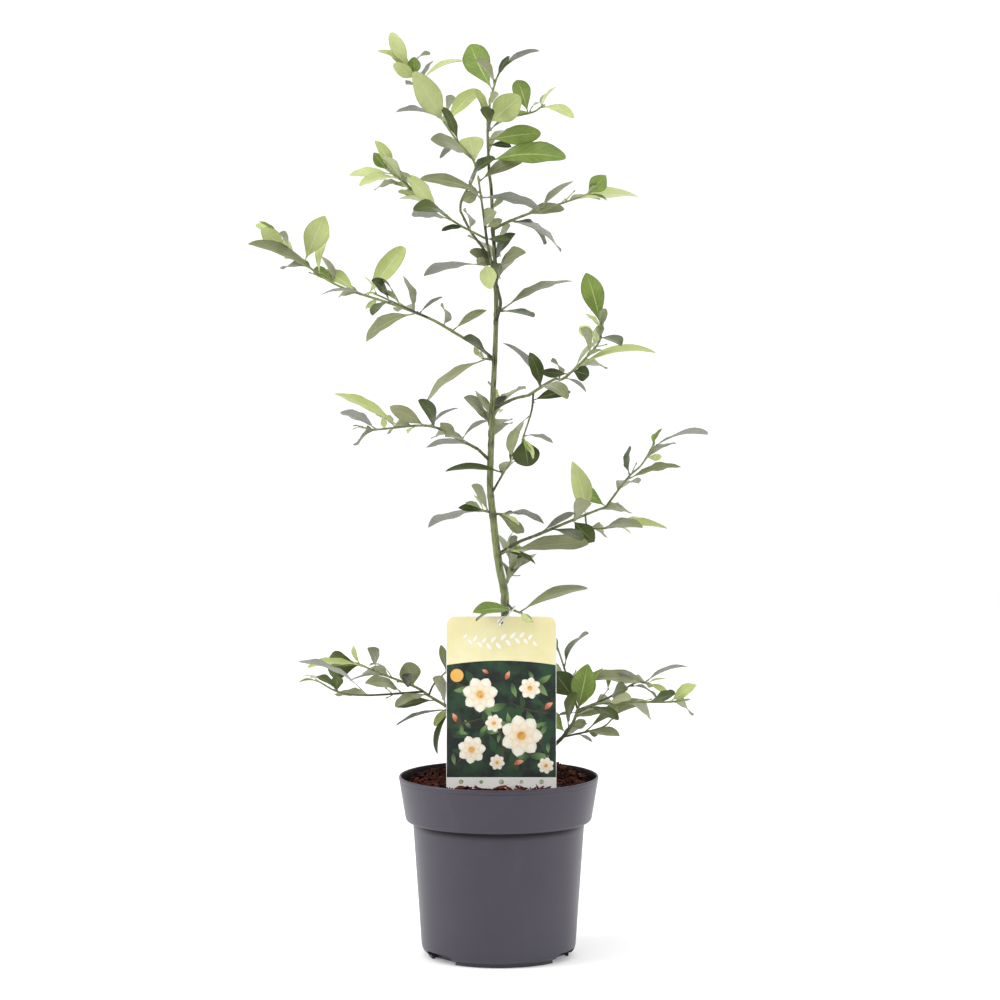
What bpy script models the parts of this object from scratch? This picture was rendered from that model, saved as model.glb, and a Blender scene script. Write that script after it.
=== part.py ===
# Young magnolia in a nursery pot, with bark compost and a plant label.
# Metres, +Z up. The origin is the middle of the pot's flat underside, and the front is -Y.
# The plant's own sizes below are in millimetres and degrees, and MM turns them into metres.

import math
import random

import bmesh
import bpy
import numpy as np
from mathutils import Matrix, Vector
from mathutils.bvhtree import BVHTree

MM = 0.001
GAP = 0.3 * MM

# Pot: a tapered wall under a wider rim band, standing on a low round foot.
RIM_RADIUS = 95 * MM
POT_HEIGHT = 173 * MM
BAND_FOOT_RADIUS = 88.4 * MM
BAND_FOOT_Z = 130 * MM
WALL_TOP_RADIUS = 81.7 * MM
WALL_FOOT_RADIUS = 73 * MM
WALL_FOOT_Z = 3.3 * MM
FOOT_RADIUS = 67 * MM
WALL = 1.7 * MM
FLOOR_Z = 5 * MM
POT_SEGMENTS = 40
NOTCH_ANGLES = (-144, -24, 96)
NOTCH_WIDTH = 38 * MM
NOTCH_TOP = 9 * MM

# Compost: a solid fill with bark chips half sunk in its top.
SOIL_Z = 165 * MM
SOIL_EDGE_Z = 161.5 * MM
PAD_RADIUS = 12 * MM
CHIP_COUNT = 26
CHIP_SEED = 12

# Label: a thin plate with two round corners, leaning back to the stem.
LABEL_WIDTH = 104 * MM
LABEL_TOP = (2.5 * MM, -14 * MM, 327 * MM)
LABEL_SOIL_Y = -38 * MM
LABEL_THICK = 0.9 * MM
LABEL_SUNK = 22 * MM
LABEL_CORNER = 8 * MM
HOLE_RADIUS = 2.6 * MM
HOLE_DROP = 5.5 * MM
TIE_WIRE = 0.7 * MM
TIE_STEPS = 18

# Trunk: (height, sideways) of the points that its bends pass through.
TRUNK_BENDS = (
    (165, 6), (327, 6), (350, 5), (370, 1), (398, -3), (422, -5.5), (446, -8), (465, -8),
    (531, -5.5), (607, -2.5), (661, -3.5), (692, -5.5), (729, -7), (746, -9),
)
TRUNK_TIP_RADIUS = 1.4
TRUNK_TAPER = 0.006
FLARE = 2.4
FLARE_HEIGHT = 9
FLARE_STEPS = (0, 4, 10, 22)

# Leaves: outline widths at stations from the root to the tip.
LEAF_STATIONS = (0, 0.16, 0.47, 0.8, 1)
LEAF_WIDTHS = (0, 0.2, 0.98, 0.78, 0)
LEAF_BREADTH = 0.31
LEAF_THICKNESS = 1 / 60
LONGEST_LEAF = 84
TILT_SPREAD = 24
MOST_TILT = 42

BARK = (0.10, 0.115, 0.055, 1)
POT_GREY = (0.095, 0.088, 0.105, 1)
SOIL_BROWN = (0.075, 0.032, 0.018, 1)
LABEL_CREAM = (0.86, 0.78, 0.46, 1)
TIE_WHITE = (0.85, 0.85, 0.82, 1)
LEAF_GREENS = (
    (0.16, 0.22, 0.045, 1), (0.11, 0.18, 0.05, 1), (0.22, 0.25, 0.07, 1), (0.08, 0.15, 0.05, 1),
)

# A bough is one bare limb. "at" is its height on the trunk, "radii" its thickness at both ends,
# and each run is (heading in the front view, length in the front view, gain in depth).
BOUGHS = {
    "bough_leader": dict(at=606, radii=(1.7, 1.2), runs=(
        (75, 16, -7), (99, 12, -1), (105, 18, 0), (101, 14, -1), (103, 14, 0))),
    "bough_top_left": dict(at=656, radii=(1.4, 1.1), runs=((122, 22, 7), (127, 19, 6), (117, 22, 6))),
    "bough_high_left": dict(at=569, radii=(1.6, 1.3), runs=((142, 18, 4), (149, 20, 6))),
    "bough_mid_left": dict(at=473, radii=(1.5, 1.3), runs=((135, 17, -6),)),
    "bough_low_left": dict(at=204, radii=(1.8, 1.4), runs=((148, 27, 6), (150, 26, 6))),
    "bough_low_right": dict(at=183, radii=(2.2, 1.7), runs=((22, 27, -6), (25, 24, -4))),
    "bough_mid_right": dict(at=384, radii=(1.7, 1.4), runs=((30, 22, 6), (20, 18, 6))),
    "bough_high_right": dict(at=522, radii=(1.6, 1.3), runs=((28, 22, -7), (16, 15, -8))),
}

# A foliage mass is one stem that grows on from a bough's tip or from the trunk, with its side twigs.
# Each leaf is (share along the stem, heading, length, shown width, tone), with headings and sizes as
# they show from the front, and a tilt in depth after them where it isn't left to the seeded rule.
# Tones: Y pale young green, B fresh green, O olive, D dark green, G with the grey underside in front.
MASSES = {
    "foliage_top": dict(seed=2, bough="trunk", radii=(1.3, 0.7), fill=4, runs=(
        (92, 40, -2), (85, 23, -2), (76, 22, -1), (67, 13, -1)),
        leaves=(
            (78, 116, 50, 26, "D"), (92, 60, 22, 5, "D"), (96, 33, 43, 4, "G"), (46, 107, 34, 6, "Y"),
            (46, 40, 39, 26, "Y"), (38, 26, 44, 6, "D"), (30, 8, 50, 19, "B"), (25, 0, 22, 6, "D"),
            (10, 4, 71, 20, "B")),
        twigs=(dict(at=49, radii=(0.9, 0.7), fill=0, runs=((10, 39, -16), (27, 13, -9)), leaves=(
            (71, 108, 34, 17, "B"), (99, -16, 31, 7, "Y"))),)),
    "foliage_leader": dict(seed=256, bough="bough_leader", radii=(1.2, 0.8), fill=2, runs=(
        (97, 24, -2), (98, 37, -3)),
        leaves=(
            (80, 165, 57, 11, "O"), (97, 28, 46, 11, "O"), (73, -8, 57, 9, "G"), (25, 27, 18, 8, "Y"),
            (8, 0, 22, 7, "D")),
        twigs=(dict(at=8, radii=(1, 0.7), runs=((150, 42, -20), (141, 70, -31)), fill=4, leaves=(
            (99, 130, 22, 11, "Y"), (95, 180, 41, 9, "Y"), (90, 187, 34, 8, "Y"), (75, 138, 36, 9, "O"),
            (54, 157, 34, 7, "Y"), (46, 131, 44, 14, "Y"), (50, 193, 23, 5, "G"), (32, 171, 38, 4, "G"),
            (21, 185, 21, 5, "D"))),)),
    "foliage_top_left": dict(seed=195, bough="bough_top_left", radii=(1.1, 0.7), fill=5, runs=(
        (81, 11, 2), (67, 33, 8), (126, 36, 10), (124, 44, 10), (123, 52, 10)),
        leaves=(
            (88, 117, 40, 14, "Y"), (92, 153, 30, 5, "Y"), (84, 89, 18, 13, "O"), (83, 146, 24, 13, "O"),
            (55, 121, 54, 24, "Y"), (42, 113, 35, 9, "D"), (26, 103, 29, 25, "Y"), (53, 46, 46, 15, "O"),
            (57, 168, 44, 5, "G"), (42, 224, 24, 5, "G"), (78, 63, 27, 4, "G"), (80, 28, 52, 5, "Y"),
            (5, 27, 18, 12, "D"))),
    "foliage_small_right": dict(seed=1, at=692, radii=(1.3, 0.7), fill=3, runs=(
        (27, 19, -11), (21, 33, -18), (16, 16, -9), (20, 26, -12)),
        leaves=(
            (34, 9, 39, 11, "O"), (86, 3, 63, 13, "Y"), (99, 45, 25, 17, "B"), (20, -27, 55, 9, "G"))),
    "foliage_high_left": dict(seed=27, bough="bough_high_left", radii=(1.3, 0.7), fill=7, runs=(
        (151, 35, 11), (160, 42, 13), (163, 41, 13), (153, 30, 9), (141, 41, 12), (132, 20, 5)),
        leaves=(
            (91, 143, 30, 17, "D"), (70, 153, 74, 11, "O"), (80, 66, 49, 24, "Y"), (71, 79, 40, 8, "Y"),
            (52, 149, 40, 13, "O"), (47, 53, 58, 19, "Y"), (46, 174, 46, 5, "G"), (42, 217, 14, 6, "O"),
            (22, 36, 28, 4, "G"), (23, 207, 57, 11, "O"), (5, 33, 39, 9, "O")),
        twigs=(dict(at=17, radii=(0.9, 0.7), runs=((155, 54, -14),), fill=2, leaves=()),)),
    "foliage_mid_left": dict(seed=6, bough="bough_mid_left", radii=(1.3, 0.7), fill=6, runs=(
        (150, 23, -13), (155, 30, -17), (182, 47, -27), (169, 12, -7)),
        leaves=(
            (70, 154, 69, 11, "Y"), (89, 149, 37, 9, "G"), (82, 99, 11, 6, "Y"), (49, 152, 38, 14, "O"),
            (45, 36, 32, 4, "G"), (20, 136, 22, 11, "O"), (16, 38, 32, 4, "G"), (5, 179, 44, 6, "G"))),
    "foliage_low_left": dict(seed=110, bough="bough_low_left", radii=(1.4, 0.8), fill=5, runs=(
        (153, 29, 16), (151, 17, 10), (163, 36, 20), (160, 21, 12)),
        leaves=(
            (98, 182, 36, 28, "B"), (95, 177, 55, 4, "Y"), (75, 186, 34, 3, "G"), (46, 107, 24, 21, "B"),
            (22, 192, 39, 9, "D"), (10, 235, 22, 9, "Y"), (5, 191, 55, 4, "G"), (6, 249, 43, 6, "D")),
        twigs=(
            dict(at=36, radii=(1, 0.7), runs=((180, 53, -26), (171, 27, -9), (150, 22, -6)), fill=3, leaves=(
                (81, 89, 14, 12, "D"), (54, 157, 72, 8, "G"))),
            dict(at=30, radii=(0.9, 0.7), runs=((64, 12, 5), (43, 16, 8)), fill=0, leaves=(
                (98, 101, 26, 8, "O"),)))),
    "foliage_low_right": dict(seed=242, bough="bough_low_right", radii=(1.7, 1.1), fill=3, runs=(
        (46, 12, -2), (56, 17, -2), (71, 14, -2)),
        leaves=(
            (97, 78, 45, 24, "B"), (92, 60, 47, 8, "B"), (38, 131, 26, 14, "B"), (54, 21, 16, 9, "O"),
            (90, 187, 18, 4, "G"), (80, 15, 27, 5, "O")),
        twigs=(
            dict(at=98, radii=(1, 0.7), runs=((109, 56, 38), (113, 6, 3)), fill=4, leaves=(
                (15, 125, 33, 24, "D"), (40, -1, 73, 8, "B"))),
            dict(at=90, radii=(1.1, 0.8), runs=((29, 22, -16), (8, 37, -26), (5, 29, -17), (12, 16, -10)),
                fill=5, leaves=((86, 39, 31, 9, "Y"),)),
            dict(at=96, radii=(1, 0.7), runs=((17, 30, 20), (24, 31, 18), (-8, 10, 5)), fill=3, leaves=(
                (87, 148, 20, 8, "G"), (97, 27, 44, 4, "G"), (77, -16, 27, 4, "G"))),
            dict(at=26, radii=(0.9, 0.7), runs=((18, 37, -20), (41, 15, -8)), fill=1, leaves=(
                (42, 25, 65, 8, "O"), (47, -25, 11, 6, "D"), (28, -28, 16, 4, "G"))))),
    "foliage_mid_right": dict(seed=34, bough="bough_mid_right", radii=(1.4, 0.9), fill=3, runs=(
        (20, 53, 26), (19, 18, 8), (16, 9, 4)),
        leaves=(
            (64, 103, 54, 19, "B"), (91, 140, 36, 13, "O"), (6, 31, 37, 6, "G"), (48, -45, 29, 19, "D")),
        twigs=(
            dict(at=90, radii=(1, 0.7), runs=((51, 34, 16), (42, 19, 9), (58, 20, 10)), fill=3, leaves=(
                (44, 15, 54, 7, "O"), (95, 11, 58, 6, "G"), (83, 2, 15, 7, "Y"))),
            dict(at=64, radii=(0.8, 0.7), runs=((-79, 10, -5), (-15, 10, -4), (8, 19, -6)), fill=2, leaves=(
                (58, -1, 65, 6, "Y"), (70, 20, 27, 4, "G"))))),
    "foliage_high_right": dict(seed=3, bough="bough_high_right", radii=(1.3, 0.7), fill=5, runs=(
        (34, 28, -17), (15, 12, -7), (48, 44, -30), (85, 19, -12)),
        leaves=(
            (97, 105, 52, 21, "B"), (94, 129, 21, 4, "Y"), (84, 147, 22, 11, "Y"), (51, 11, 76, 7, "Y"),
            (46, -14, 17, 15, "D"), (42, 174, 27, 9, "D"), (13, 106, 34, 13, "D"), (13, 126, 55, 7, "G"),
            (36, -30, 25, 4, "G")),
        twigs=(dict(at=5, radii=(0.9, 0.7), runs=((-96, 17, -6), (-108, 26, -8)), fill=1, leaves=(
            (97, -81, 29, 26, "D"), (96, -17, 29, 5, "G"), (17, 13, 37, 10, "D"))),)),
    "spur_high_left": dict(seed=2, at=658, radii=(1.1, 0.8), fill=0, runs=(
        (165, 5, -4), (180, 5, -3)), leaves=(
        (95, 188, 59, 7, "G"), (80, 149, 11, 9, "O"), (95, -76, 22, 17, "Y", -38))),
    "spur_upper_right": dict(seed=1, at=613, radii=(1.1, 0.8), fill=1, runs=((32, 8, 6),), leaves=(
        (90, 20, 71, 9, "O"),)),
    "spur_upper_left": dict(seed=1, at=569, radii=(1.1, 0.8), fill=1, runs=((170, 9, -7),), leaves=(
        (90, 217, 79, 10, "O"),)),
    "spur_inner": dict(seed=3, at=441, radii=(1.1, 0.7), fill=1, runs=((61, 26, -11), (59, 13, -4)), leaves=(
        (66, 177, 55, 6, "D"), (95, 81, 12, 4, "Y"))),
    "spur_middle_right": dict(seed=1, at=423, radii=(1.1, 0.8), fill=1, runs=((-3, 9, 4),), leaves=(
        (90, -11, 41, 7, "G"), (80, -41, 30, 11, "O"))),
    "spur_middle_left": dict(seed=2, at=424, radii=(1.1, 0.8), fill=1, runs=((165, 9, -3),), leaves=(
        (90, 196, 56, 9, "G"), (80, 172, 26, 7, "D"))),
    "spur_fork": dict(seed=2, at=383, radii=(1.2, 0.8), fill=0, runs=((32, 11, -8),), leaves=(
        (92, 4, 78, 11, "B"), (80, -19, 30, 5, "D"))),
    "spur_label": dict(seed=6, at=340, radii=(1.2, 0.8), fill=0, runs=((-45, 10, -6), (-24, 8, -3)), leaves=(
        (95, 21, 69, 9, "B"), (78, 172, 39, 9, "B"), (40, 195, 34, 5, "G"))),
    "back_high": dict(seed=136, at=640, radii=(1.3, 0.7), fill=7, leaves=(), runs=(
        (80, 10, 22), (100, 16, 40))),
    "back_middle": dict(seed=10, at=490, radii=(1.3, 0.7), fill=8, leaves=(), runs=(
        (100, 10, 24), (70, 18, 46))),
    "back_low": dict(seed=123, at=352, radii=(1.4, 0.7), fill=8, leaves=(), runs=(
        (60, 12, 28), (80, 16, 42))),
}


def clear_scene():
    for thing in list(bpy.data.objects):
        bpy.data.objects.remove(thing, do_unlink=True)


def new_collection(name):
    made = bpy.data.collections.new(name)
    bpy.context.scene.collection.children.link(made)
    return made


def material(name, colour, roughness):
    made = bpy.data.materials.new(name)
    made.use_nodes = True
    shader = made.node_tree.nodes["Principled BSDF"]
    shader.inputs["Base Color"].default_value = colour
    shader.inputs["Roughness"].default_value = roughness
    shader.inputs["Metallic"].default_value = 0
    return made


def new_object(name, mesh, collection, finish=None):
    made = bpy.data.objects.new(name, mesh)
    collection.objects.link(made)
    if finish:
        mesh.materials.clear()
        mesh.materials.append(finish)
    return made


def mesh_from(name, shape):
    mesh = bpy.data.meshes.new(name)
    shape.to_mesh(mesh)
    shape.free()
    return mesh


def evaluated_mesh(thing):
    graph = bpy.context.evaluated_depsgraph_get()
    return bpy.data.meshes.new_from_object(thing.evaluated_get(graph))


def apply_modifiers(thing):
    """Puts what the modifiers make into the object's own mesh."""
    mesh = evaluated_mesh(thing)
    thing.modifiers.clear()
    thing.data = mesh


def hide_cutter(thing):
    thing.hide_render = True
    thing.display_type = "WIRE"


def cut(thing, cutter):
    boolean = thing.modifiers.new("cut_" + cutter.name, "BOOLEAN")
    boolean.operation = "DIFFERENCE"
    boolean.solver = "EXACT"
    boolean.object = cutter


def join_collection(thing, collection, solver):
    """Fuses every object of the collection to the thing, and removes them."""
    boolean = thing.modifiers.new("join", "BOOLEAN")
    boolean.operation = "UNION"
    boolean.solver = solver
    boolean.operand_type = "COLLECTION"
    boolean.collection = collection
    apply_modifiers(thing)
    for other in list(collection.objects):
        bpy.data.objects.remove(other, do_unlink=True)
    bpy.data.collections.remove(collection)


def turned(name, profile, segments, collection, finish=None):
    """A profile of (radius, height) points, turned round the Z axis."""
    mesh = bpy.data.meshes.new(name)
    edges = [(i, i + 1) for i in range(len(profile) - 1)]
    mesh.from_pydata([(r, 0, z) for r, z in profile], edges, [])
    made = new_object(name, mesh, collection, finish)
    screw = made.modifiers.new("turn", "SCREW")
    screw.steps = segments
    screw.render_steps = segments
    screw.use_merge_vertices = True
    screw.merge_threshold = 0.00001
    screw.use_smooth_shade = True
    return made


def smooth_points(joints, per_run):
    """Points of a Catmull-Rom curve through the joints, with per_run steps to each stretch."""
    knots = [joints[0] * 2 - joints[1]] + list(joints) + [joints[-1] * 2 - joints[-2]]
    points = [joints[0]]
    for a, b, c, d in zip(knots, knots[1:], knots[2:], knots[3:]):
        for step in range(1, per_run + 1):
            t = step / per_run
            bend = (a * 2 - b * 5 + c * 4 - d) * t**2 + (b * 3 - a - c * 3 + d) * t**3
            points.append(b + ((c - a) * t + bend) / 2)
    return points


def grown_route(start, runs):
    """Joints of a stem: each run adds a stretch in the front view, and a gain in depth."""
    joints = [Vector(start)]
    for heading, length, depth in runs:
        turn = math.radians(heading)
        step = Vector((math.cos(turn) * length, depth, math.sin(turn) * length))
        joints.append(joints[-1] + step * MM)
    return joints


def tube(name, points, radii, bevel_resolution, collection, finish=None):
    """A tapered tube through the points, as a closed mesh. The radii are in millimetres."""
    curve = bpy.data.curves.new(name, "CURVE")
    curve.dimensions = "3D"
    curve.bevel_depth = MM
    curve.bevel_resolution = bevel_resolution
    curve.use_fill_caps = True
    spline = curve.splines.new("POLY")
    spline.points.add(len(points) - 1)
    for place, point, radius in zip(spline.points, points, radii):
        place.co = (*point, 1)
        place.radius = radius
    guide = bpy.data.objects.new(name + "_guide", curve)
    collection.objects.link(guide)
    mesh = evaluated_mesh(guide)
    bpy.data.objects.remove(guide, do_unlink=True)
    shape = bmesh.new()
    shape.from_mesh(mesh)
    bmesh.ops.remove_doubles(shape, verts=shape.verts, dist=0.00001)
    bmesh.ops.recalc_face_normals(shape, faces=shape.faces)
    shape.to_mesh(mesh)
    shape.free()
    mesh.name = name
    return new_object(name, mesh, collection, finish)


def lengths_along(points):
    steps = [0.0]
    for a, b in zip(points, points[1:]):
        steps.append(steps[-1] + (b - a).length)
    return [step / steps[-1] for step in steps]


def taper(points, radii):
    return [radii[0] + (radii[1] - radii[0]) * share for share in lengths_along(points)]


def place_on(points, share):
    """The point at this share of the route's length."""
    shares = lengths_along(points)
    return Vector([float(np.interp(share, shares, [p[axis] for p in points])) for axis in range(3)])


def trunk_path():
    return smooth_points([Vector((x, 0, z)) * MM for z, x in TRUNK_BENDS], 2)


def trunk_point(height):
    """The middle of the trunk at this height in millimetres."""
    path = trunk_path()
    z = height * MM
    return Vector((float(np.interp(z, [p.z for p in path], [p.x for p in path])), 0, z))


def trunk_radius(height):
    flare = FLARE * math.exp((TRUNK_BENDS[0][0] - height) / FLARE_HEIGHT)
    return TRUNK_TIP_RADIUS + (TRUNK_BENDS[-1][0] - height) * TRUNK_TAPER + flare


def make_pot(parts, cutters):
    band_slope = (RIM_RADIUS - BAND_FOOT_RADIUS) / (POT_HEIGHT - BAND_FOOT_Z)
    groove_z = POT_HEIGHT - 4 * MM
    inside = (
        (0, FLOOR_Z),
        (FOOT_RADIUS + 1.4 * MM, FLOOR_Z),
        (WALL_FOOT_RADIUS + 0.7 * MM - WALL, WALL_FOOT_Z + 10 * MM),
        (WALL_TOP_RADIUS - WALL, BAND_FOOT_Z + 1.2 * MM),
        (BAND_FOOT_RADIUS - 1.3 * WALL, BAND_FOOT_Z + 2.6 * MM),
        (RIM_RADIUS - WALL - 0.4 * MM, POT_HEIGHT - 1 * MM),
        (RIM_RADIUS - WALL + 0.3 * MM, POT_HEIGHT),
    )
    outside = (
        (RIM_RADIUS - 0.6 * MM, POT_HEIGHT),
        (RIM_RADIUS, POT_HEIGHT - 0.7 * MM),
        (RIM_RADIUS, groove_z + 0.6 * MM),
        (RIM_RADIUS - 0.7 * MM, groove_z),
        (BAND_FOOT_RADIUS + 2.5 * MM * band_slope, BAND_FOOT_Z + 2.5 * MM),
        (BAND_FOOT_RADIUS - 0.8 * MM, BAND_FOOT_Z + 0.6 * MM),
        (BAND_FOOT_RADIUS - 2.5 * MM, BAND_FOOT_Z),
        (WALL_TOP_RADIUS + 0.4 * MM, BAND_FOOT_Z - 0.6 * MM),
        (WALL_TOP_RADIUS, BAND_FOOT_Z - 1.6 * MM),
        (WALL_FOOT_RADIUS + 0.6 * MM, WALL_FOOT_Z + 7 * MM),
        (WALL_FOOT_RADIUS - 0.8 * MM, WALL_FOOT_Z + 3 * MM),
        (WALL_FOOT_RADIUS - 3.4 * MM, WALL_FOOT_Z + 0.5 * MM),
        (FOOT_RADIUS + 0.3 * MM, WALL_FOOT_Z),
        (FOOT_RADIUS, WALL_FOOT_Z - 0.5 * MM),
        (FOOT_RADIUS, 0),
        (0, 0),
    )
    finish = material("pot_plastic", POT_GREY, 0.42)
    pot = turned("pot", inside + outside, POT_SEGMENTS, parts, finish)
    for number, angle in enumerate(NOTCH_ANGLES):
        shape = bmesh.new()
        bmesh.ops.create_cube(shape, size=1)
        notch = new_object(f"drain_notch_{number}", mesh_from("drain_notch", shape), cutters)
        turn = Matrix.Rotation(math.radians(angle), 4, "Z")
        depth = 18 * MM
        middle = Vector((FOOT_RADIUS + 1 * MM, 0, NOTCH_TOP / 2 - 1 * MM))
        size = Matrix.Diagonal((depth, NOTCH_WIDTH, NOTCH_TOP + 2 * MM, 1))
        notch.data.transform(turn @ Matrix.Translation(middle) @ size)
        hide_cutter(notch)
        cut(pot, notch)


def turn_to(across, up, front):
    return Matrix((across, up, front)).transposed().to_4x4()


def label_frame():
    """The label's middle at its top edge, and the unit vectors along its width, height and front."""
    top = Vector(LABEL_TOP)
    foot = Vector((LABEL_TOP[0], LABEL_SOIL_Y, SOIL_Z))
    up = (top - foot).normalized()
    across = Vector((1, 0, 0))
    return top, across, up, across.cross(up)


def label_plate(name, width, height, thick, corner, collection, finish=None):
    """A flat outline with round upper corners, extruded by its thickness, at the label's place."""
    arcs = [math.radians(15 * step) for step in range(7)]
    right = [(width / 2 - corner + corner * math.sin(a), -corner + corner * math.cos(a)) for a in arcs]
    outline = [(-x, y) for x, y in reversed(right)] + right + [(width / 2, -height), (-width / 2, -height)]
    curve = bpy.data.curves.new(name, "CURVE")
    curve.dimensions = "2D"
    curve.fill_mode = "BOTH"
    curve.extrude = thick / 2
    spline = curve.splines.new("POLY")
    spline.points.add(len(outline) - 1)
    for place, (x, y) in zip(spline.points, outline):
        place.co = (x, y, 0, 1)
    spline.use_cyclic_u = True
    guide = bpy.data.objects.new(name + "_guide", curve)
    collection.objects.link(guide)
    mesh = evaluated_mesh(guide)
    bpy.data.objects.remove(guide, do_unlink=True)
    top, across, up, front = label_frame()
    mesh.transform(Matrix.Translation(top) @ turn_to(across, up, front))
    shape = bmesh.new()
    shape.from_mesh(mesh)
    bmesh.ops.remove_doubles(shape, verts=shape.verts, dist=0.00001)
    bmesh.ops.recalc_face_normals(shape, faces=shape.faces)
    shape.to_mesh(mesh)
    shape.free()
    return new_object(name, mesh, collection, finish)


def make_label(parts, cutters):
    top, across, up, front = label_frame()
    height = (LABEL_TOP[2] - SOIL_Z) / up.z + LABEL_SUNK
    finish = material("label_card", LABEL_CREAM, 0.35)
    label = label_plate("label", LABEL_WIDTH, height, LABEL_THICK, LABEL_CORNER, parts, finish)
    hole_middle = top - up * HOLE_DROP - across * 0.6 * MM
    shape = bmesh.new()
    bmesh.ops.create_cone(
        shape, cap_ends=True, segments=16, radius1=HOLE_RADIUS, radius2=HOLE_RADIUS, depth=8 * MM
    )
    hole = new_object("label_hole", mesh_from("label_hole", shape), cutters)
    hole.data.transform(Matrix.Translation(hole_middle) @ turn_to(across, up, front))
    hide_cutter(hole)
    cut(label, hole)
    # The tie passes through the hole, over the top edge and round the stem.
    reach = Vector((0, -12.5, 0)) * MM
    lean = Vector((8.5, 0, 8.5)) * MM
    through = math.radians(-41)
    middle = hole_middle - reach * math.cos(through) - lean * math.sin(through)
    ring = []
    for step in range(TIE_STEPS):
        angle = math.tau * step / TIE_STEPS
        ring.append(middle + reach * math.cos(angle) + lean * math.sin(angle))
    make_ring("label_tie", ring, TIE_WIRE, parts, material("tie_plastic", TIE_WHITE, 0.4))


def make_ring(name, points, wire, collection, finish):
    curve = bpy.data.curves.new(name, "CURVE")
    curve.dimensions = "3D"
    curve.bevel_depth = wire
    curve.bevel_resolution = 1
    spline = curve.splines.new("POLY")
    spline.points.add(len(points) - 1)
    for place, point in zip(spline.points, points):
        place.co = (*point, 1)
    spline.use_cyclic_u = True
    made = bpy.data.objects.new(name, curve)
    curve.materials.append(finish)
    collection.objects.link(made)
    return made


def make_soil(parts, cutters):
    wall_foot = (WALL_FOOT_RADIUS + 0.7 * MM - WALL - 1.3 * GAP, WALL_FOOT_Z + 10 * MM)
    wall_top = (WALL_TOP_RADIUS - WALL - 1.3 * GAP, BAND_FOOT_Z + 1.6 * MM)
    band_foot = (BAND_FOOT_RADIUS - 1.3 * WALL - 1.3 * GAP, BAND_FOOT_Z + 3 * MM)
    slope = (RIM_RADIUS - 0.4 * MM - BAND_FOOT_RADIUS + 0.3 * WALL) / (POT_HEIGHT - BAND_FOOT_Z - 3.6 * MM)
    edge = (band_foot[0] + slope * (SOIL_EDGE_Z - band_foot[1]), SOIL_EDGE_Z)
    profile = (
        (0, SOIL_Z),
        (PAD_RADIUS, SOIL_Z),
        (45 * MM, SOIL_Z + 0.6 * MM),
        (72 * MM, SOIL_Z - 1.2 * MM),
        edge,
        band_foot,
        wall_top,
        wall_foot,
        (FOOT_RADIUS + 1.4 * MM - 1.3 * GAP, FLOOR_Z + GAP),
        (0, FLOOR_Z + GAP),
    )
    finish = material("bark_compost", SOIL_BROWN, 0.95)
    soil = turned("soil", profile, POT_SEGMENTS, parts, finish)
    chips = new_collection("chips")
    rng = random.Random(CHIP_SEED)
    made = 0
    while made < CHIP_COUNT:
        radius = 82 * MM * math.sqrt(rng.random())
        angle = rng.uniform(0, math.tau)
        x, y = radius * math.cos(angle), radius * math.sin(angle)
        size = Vector((rng.uniform(9, 17), rng.uniform(5, 9), rng.uniform(3, 5))) * MM
        spin = Matrix.Rotation(rng.uniform(0, math.pi), 4, "Z")
        tip = Matrix.Rotation(math.radians(rng.uniform(-28, 28)), 4, "X")
        near_label = abs(x) < LABEL_WIDTH / 2 + 6 * MM and LABEL_SOIL_Y - 7 * MM < y < LABEL_SOIL_Y + 7 * MM
        if radius < PAD_RADIUS + 8 * MM or near_label:
            continue
        shape = bmesh.new()
        bmesh.ops.create_cube(shape, size=1)
        chip = new_object(f"chip_{made}", mesh_from("chip", shape), chips)
        height = SOIL_Z + rng.uniform(-0.6, 1) * MM - 2.2 * MM * (radius > 70 * MM)
        chip.data.transform(Matrix.Translation((x, y, height)) @ spin @ tip @ Matrix.Diagonal((*size, 1)))
        made += 1
    join_collection(soil, chips, "EXACT")
    top, across, up, front = label_frame()
    shape = bmesh.new()
    bmesh.ops.create_cube(shape, size=1)
    slot = new_object("label_slot", mesh_from("label_slot", shape), cutters)
    soil_line = top - up * (LABEL_TOP[2] - SOIL_Z) / up.z
    size = Matrix.Diagonal((LABEL_WIDTH + 2 * GAP, 2 * (LABEL_SUNK + GAP), LABEL_THICK + 2 * GAP, 1))
    slot.data.transform(Matrix.Translation(soil_line) @ turn_to(across, up, front) @ size)
    hide_cutter(slot)
    cut(soil, slot)


def make_trunk(parts, cutters):
    """The trunk, and the sleeve a gap wider that cuts the limbs' roots to its round side."""
    foot = TRUNK_BENDS[0][0]
    flare_points = [trunk_point(foot + step) for step in FLARE_STEPS]
    flare_points[0].z += GAP
    points = flare_points + trunk_path()[2:]
    radii = [trunk_radius(point.z / MM) for point in points]
    tube("trunk", points, radii, 3, parts, material("trunk_bark", BARK, 0.75))
    sleeve = tube("trunk_sleeve", points, [radius + GAP / MM for radius in radii], 3, cutters)
    hide_cutter(sleeve)
    return sleeve, points


def make_boughs(parts, sleeve):
    finish = material("bough_bark", BARK, 0.75)
    tips = {}
    for name, spec in BOUGHS.items():
        points = smooth_points(grown_route(trunk_point(spec["at"]), spec["runs"]), 2)
        bough = tube(name, points, taper(points, spec["radii"]), 2, parts, finish)
        cut(bough, sleeve)
        tips[name] = (points[-1], (points[-1] - points[-2]).normalized())
    return tips


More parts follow.
